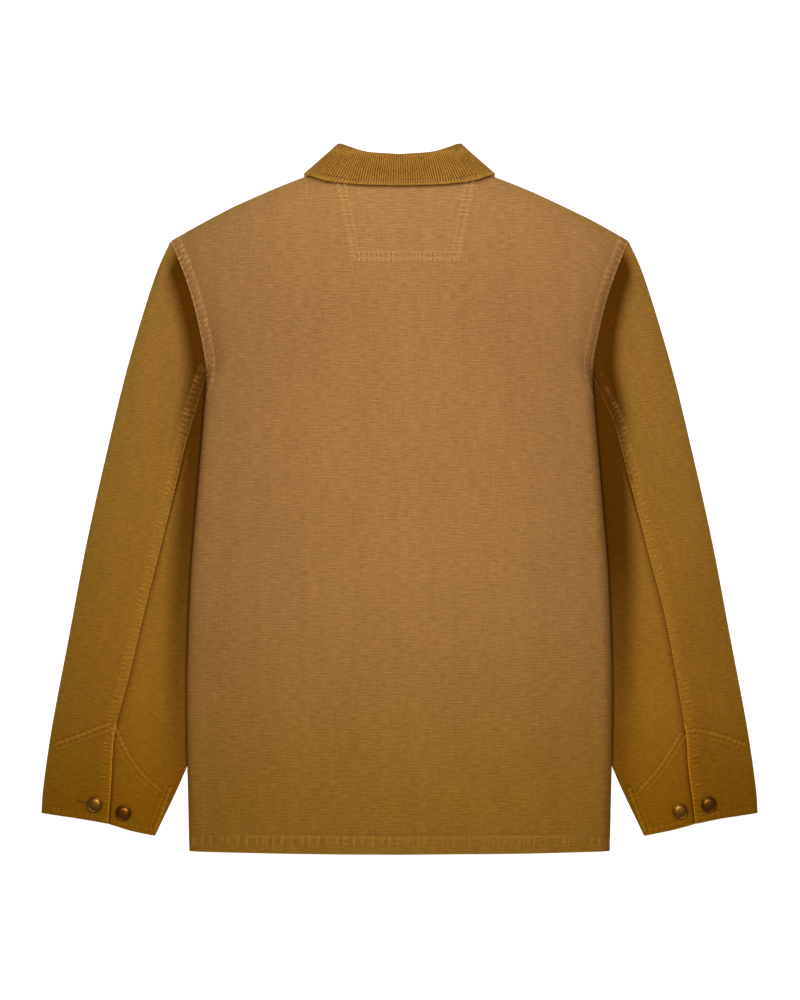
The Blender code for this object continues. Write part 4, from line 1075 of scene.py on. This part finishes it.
def addButton(name, node, points, faces, metal=tackMetal):
    made = meshObject(name, points, faces, metal)
    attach(made, "root")
    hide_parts(node)


def addButtons():
    for kind, spots in cuffButtons.items():
        for which, spot in spots.items():
            points, faces = buttonPoints()
            spot, reach = np.array(spot), buttons["radius"]
            slopeX = (skinAt(spot + (reach, 0)) - skinAt(spot - (reach, 0))) / (2 * reach)
            slopeY = (skinAt(spot + (0, reach)) - skinAt(spot - (0, reach))) / (2 * reach)
            points[:, 2] += (skinAt(spot) + buttons["lift"] + points[:, 0] * slopeX
                             + points[:, 1] * slopeY)
            points[:, :2] += spot
            if which == "left":
                points, faces = points * (-1.0, 1.0, 1.0), [face[::-1] for face in faces]
            label = "tackCuff" + kind.capitalize() + which.capitalize()
            metal = darkTackMetal if (kind, which) in buttons["darker"] else tackMetal
            addButton(label, "cuff_%s_%s" % (kind, which), points, faces, metal)
    for number, along in enumerate(buttons["alongFront"], 1):
        points, faces = buttonPoints()
        points = points * (1.0, -1.0, -1.0) + (0.0, along, buttons["up"])
        addButton("tackFront%d" % number, "front_button_%d" % number, points, faces)


stitch = {
    "pitch": 3.0, "length": 2.5, "width": 0.7, "height": 0.5, "sink": 0.03, "wander": 0.09,
    "holeTurn": -16.0, "holeWidth": 2.8,
}


# one tree for every row of stitches: a spindle of thread at each step along its curves
def stitchTree():
    tree = bpy.data.node_groups.new("stitchRows", "GeometryNodeTree")
    face = tree.interface
    face.new_socket("Geometry", in_out="INPUT", socket_type="NodeSocketGeometry")
    for name in ("Pitch", "Length", "Width", "Height", "Wander"):
        face.new_socket(name, in_out="INPUT", socket_type="NodeSocketFloat")
    face.new_socket("Seed", in_out="INPUT", socket_type="NodeSocketInt")
    face.new_socket("Thread", in_out="INPUT", socket_type="NodeSocketMaterial")
    face.new_socket("Geometry", in_out="OUTPUT", socket_type="NodeSocketGeometry")
    given = addNode(tree, "NodeGroupInput").outputs
    steps = addNode(tree, "GeometryNodeResampleCurve", {"Curve": given["Geometry"],
                                                        "Length": given["Pitch"]}, mode="LENGTH")
    tangent = addNode(tree, "GeometryNodeInputTangent")
    turned = addNode(tree, "FunctionNodeAlignRotationToVector", {"Vector": tangent.outputs[0]},
                     axis="X")
    least = addNode(tree, "ShaderNodeMath", {0: given["Wander"], 1: -1.0}, operation="MULTIPLY")
    wander = addNode(tree, "FunctionNodeRandomValue", {2: least.outputs[0], 3: given["Wander"],
                                                       "Seed": given["Seed"]}, data_type="FLOAT")
    lean = addNode(tree, "ShaderNodeCombineXYZ", {"Z": wander.outputs[1]})
    leaned = addNode(tree, "FunctionNodeRotateRotation", {0: turned.outputs[0],
                                                          1: lean.outputs[0]})
    ball = addNode(tree, "GeometryNodeMeshUVSphere", {"Segments": 6, "Rings": 5, "Radius": 0.5})
    upright = addNode(tree, "GeometryNodeTransform", {"Geometry": ball.outputs[0],
                                                      "Rotation": (0.0, 0.5 * math.pi, 0.0)})
    size = addNode(tree, "ShaderNodeCombineXYZ", {"X": given["Length"], "Y": given["Width"],
                                                  "Z": given["Height"]})
    spindle = addNode(tree, "GeometryNodeTransform", {"Geometry": upright.outputs[0],
                                                      "Scale": size.outputs[0]})
    rows = addNode(tree, "GeometryNodeInstanceOnPoints", {"Points": steps.outputs[0],
                                                          "Instance": spindle.outputs[0],
                                                          "Rotation": leaned.outputs[0]})
    real = addNode(tree, "GeometryNodeRealizeInstances", {0: rows.outputs[0]})
    smoothed = addNode(tree, "GeometryNodeSetShadeSmooth", {0: real.outputs[0]})
    dressed = addNode(tree, "GeometryNodeSetMaterial", {"Geometry": smoothed.outputs[0],
                                                        "Material": given["Thread"]})
    addNode(tree, "NodeGroupOutput", {0: dressed.outputs[0]})
    return tree


# plan lines become curves on top of the cloth below them
def onTop(line, skin, up):
    own = lengthsAlong(line)
    places = np.linspace(0.0, own[-1], max(2, int(own[-1])))
    plan = np.column_stack([np.interp(places, own, line[:, k]) for k in (0, 1)]) * mm
    hits = [skin.ray_cast(Vector((x, y, 0.2)), Vector((0, 0, -1)))[0] for x, y in plan]
    return [(x, y, hit.z + up * mm) for (x, y), hit in zip(plan, hits) if hit is not None]


def addStitches(name, lines, skin, seed, tree):
    rows = bpy.data.curves.new(name, "CURVE")
    rows.dimensions = "3D"
    for line in lines:
        points = onTop(np.asarray(line, float), skin, stitch["height"] * 0.5 - stitch["sink"])
        if len(points) < 3:
            continue
        row = rows.splines.new("POLY")
        row.points.add(len(points) - 1)
        row.points.foreach_set("co", np.column_stack([points, np.ones(len(points))]).ravel())
    holder = linked(name + "Rows", rows)
    sewn = holder.modifiers.new("rows", "NODES")
    sewn.node_group = tree
    values = {"Pitch": stitch["pitch"] * mm, "Length": stitch["length"] * mm,
              "Width": stitch["width"] * mm, "Height": stitch["height"] * mm,
              "Wander": stitch["wander"], "Seed": seed, "Thread": thread}
    for item in tree.interface.items_tree:
        if item.in_out == "INPUT" and item.name in values:
            sewn[item.identifier] = values[item.name]
    ready = holder.evaluated_get(bpy.context.evaluated_depsgraph_get())
    mesh = bpy.data.meshes.new_from_object(ready)
    mesh.name = name
    bpy.data.objects.remove(holder)
    bpy.data.curves.remove(rows)
    made = linked(name, mesh)
    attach(made, "root")
    return made


def mirror(lines):
    return [np.asarray(line) * (-1.0, 1.0) for line in lines]


# the part of a plan line where the sleeve isn't under the body
def besideBody(line, gap):
    clear = line[:, 0] > acrossAt(side, line[:, 1]) + gap
    return line[clear | (line[:, 1] < side[0, 1])]


def buttonhole(start, length):  # short rows across the slit
    turn = math.radians(stitch["holeTurn"])
    run = np.array([math.cos(turn), math.sin(turn)])
    half = 0.5 * stitch["holeWidth"] * np.array([-run[1], run[0]])
    return [np.array([start + run * way - half, start + run * way + half])
            for way in np.arange(0.0, length, 0.8)]


rowSpots = {  # where rows of stitches run, in millimetres: in from a seam or an edge, or between
    "armhole": (1.7, 1.0), "sleeveSeam": (1.6, 1.0), "seamClear": 4.0, "sideClear": 1.0,
    "hemHalf": 230.0, "collarHalf": 103.0, "collarFrom": 345.0,
    "cuffEdge": (7.0, 13.5), "cuffEdgeTo": -296.0, "holeAside": (10.5, 1.2), "holeLong": 9.0,
}


def sewJacket():
    tree = stitchTree()
    unsewn = ("canvasFrontLeft", "canvasFrontRight", "canvasUnderCollar")
    skins = {made.name: BVHTree.FromPolygons([v.co[:] for v in made.data.vertices],
                                             [p.vertices[:] for p in made.data.polygons])
             for made in sheets if made.name not in unsewn}
    sewn = {}

    def sew(piece, name, lines, seed):
        sewn[piece] = addStitches(name, lines, skins[piece], seed, tree)

    near, far = rowSpots["armhole"]
    armholes = [movedOut(armholeRun, gap) for gap in (-near, -back["seamBand"] + far)]
    armholes = [row[row[:, 0] < acrossAt(side, row[:, 1]) - rowSpots["sideClear"]]
                for row in armholes]
    across = np.linspace(-rowSpots["hemHalf"], rowSpots["hemHalf"], 60)
    hemAlong = back["hemStitch"] + np.interp(abs(across), hem[:, 0], hem[:, 1])
    hemRow = np.column_stack([across, hemAlong])
    sew("canvasBack", "threadBack", [hemRow] + armholes + mirror(armholes), 41)
    patchRows = []
    for inset in patch["rows"]:
        ups = np.array([inset / (patch["top"][1] - patch["bottom"][1]), 1.0])
        outline = patchPlan(inset * 1.015, np.array([-1.0, 1.0]), ups)
        patchRows.append(np.array([outline[1, 0], outline[0, 0], outline[0, 1], outline[1, 1]]))
    sew("canvasNeckPatch", "threadNeckPatch", patchRows, 42)
    grid, _, toEdge = collarGrid(collar["coarseStep"])
    row = np.array([[np.interp(-collar["stitchIn"], -gap, points[:, k]) for k in (0, 1)]
                    for points, gap in zip(grid, toEdge)])
    row = row[abs(row[:, 0]) < rowSpots["collarHalf"]]
    row = row[row[:, 1] > rowSpots["collarFrom"]]
    sew("corduroyCollar", "threadCollar", [row], 43)
    for which in ("left", "right"):
        turn = mirror if which == "left" else list
        label = which.capitalize()
        near, far = rowSpots["sleeveSeam"]
        seamRows = [besideBody(seamMoved(movedOut(backSeam, -gap), which), rowSpots["seamClear"])
                    for gap in (near, sleeves["seamBand"] - far)]
        outerHem, innerHem = (movedOut(line, -sleeves["hemStitch"])
                              for line in (cuffOuter, cuffInner))
        holeSpot = np.array(cuffButtons["button"][which]) + rowSpots["holeAside"]
        hole = buttonhole(holeSpot, rowSpots["holeLong"])
        lines = seamRows + [outerHem, wedges[which][0]] + hole
        sew("canvasSleeveTop" + label, "threadSleeveTop" + label, turn(lines), 44 + len(sewn))
        cuffEdge = sleeveInner[sleeveInner[:, 1] < rowSpots["cuffEdgeTo"]]
        edgeRows = [besideBody(movedOut(cuffEdge, -gap), rowSpots["seamClear"])
                    for gap in rowSpots["cuffEdge"]]
        lines = [innerHem, wedges[which][1]] + edgeRows
        sew("canvasSleeveUnder" + label, "threadSleeveUnder" + label, turn(lines), 54 + len(sewn))
    return sewn


addBack()
addFronts()
addSleeve("left", 101)
addSleeve("right", 131)
addCollar()
addPatch()
print("cloth done")
addButtons()
sewn = sewJacket()
print("stitches done")


studio = {
    "cameraUp": 3.2, "frameLong": 1.1, "sensor": 0.036, "silhouetteUp": 0.008,
    "cameraAside": 0.0005, "floorHalf": 4.0, "floorDown": 0.0003, "floorGlow": 0.95,
    "worldStrength": 0.14, "lampSpot": (0.0, 0.2, 1.15), "lampAim": (0.0, 0.05, 0.0),
    "lampAcross": 0.5, "lampPower": 11.5,
}


def addLight(name, spot, aim, size, power):
    lamp = bpy.data.lights.new(name, "AREA")
    lamp.shape, lamp.size, lamp.energy = "DISK", size, power
    holder = linked(name, lamp)
    holder.location = spot
    holder.rotation_euler = (Vector(aim) - Vector(spot)).to_track_quat("-Z", "Y").to_euler()
    holder.visible_camera = False


def addStudio():
    view = bpy.data.cameras.new("camera")
    view.type = "PERSP"
    view.sensor_width = studio["sensor"] * 1000
    reach = studio["cameraUp"] - studio["silhouetteUp"]
    view.lens = view.sensor_width * reach / studio["frameLong"]
    holder = linked("camera", view)
    holder.location = (studio["cameraAside"], -studio["cameraAside"], studio["cameraUp"])
    bpy.context.scene.camera = holder
    half, low = studio["floorHalf"], -studio["floorDown"]
    floorMesh = bpy.data.meshes.new("floor")
    floorMesh.from_pydata([(-half, -half, low), (half, -half, low), (half, half, low),
                           (-half, half, low)], [], [(0, 1, 2, 3)])
    # Opal acrylic, lit from below as a photographer's light table is, so it stays white.
    table, _, shader = newMaterial("litOpalAcrylicTable")
    setInputs(shader, {"Base Color": linear("#f8f8f8"), "Roughness": 0.9,
                       "Emission Color": (1.0, 1.0, 1.0, 1.0),
                       "Emission Strength": studio["floorGlow"]})
    floorMesh.materials.append(table)
    floor = linked("floor", floorMesh)
    world = bpy.data.worlds.new("studio")
    world.use_nodes = True
    setInputs(world.node_tree.nodes["Background"],
              {"Color": (1.0, 1.0, 1.0, 1.0), "Strength": studio["worldStrength"]})
    bpy.context.scene.world = world
    addLight("softboxOverShoulders", studio["lampSpot"], studio["lampAim"],
             studio["lampAcross"], studio["lampPower"])
    bpy.context.scene.view_settings.view_transform = "Standard"


addStudio()
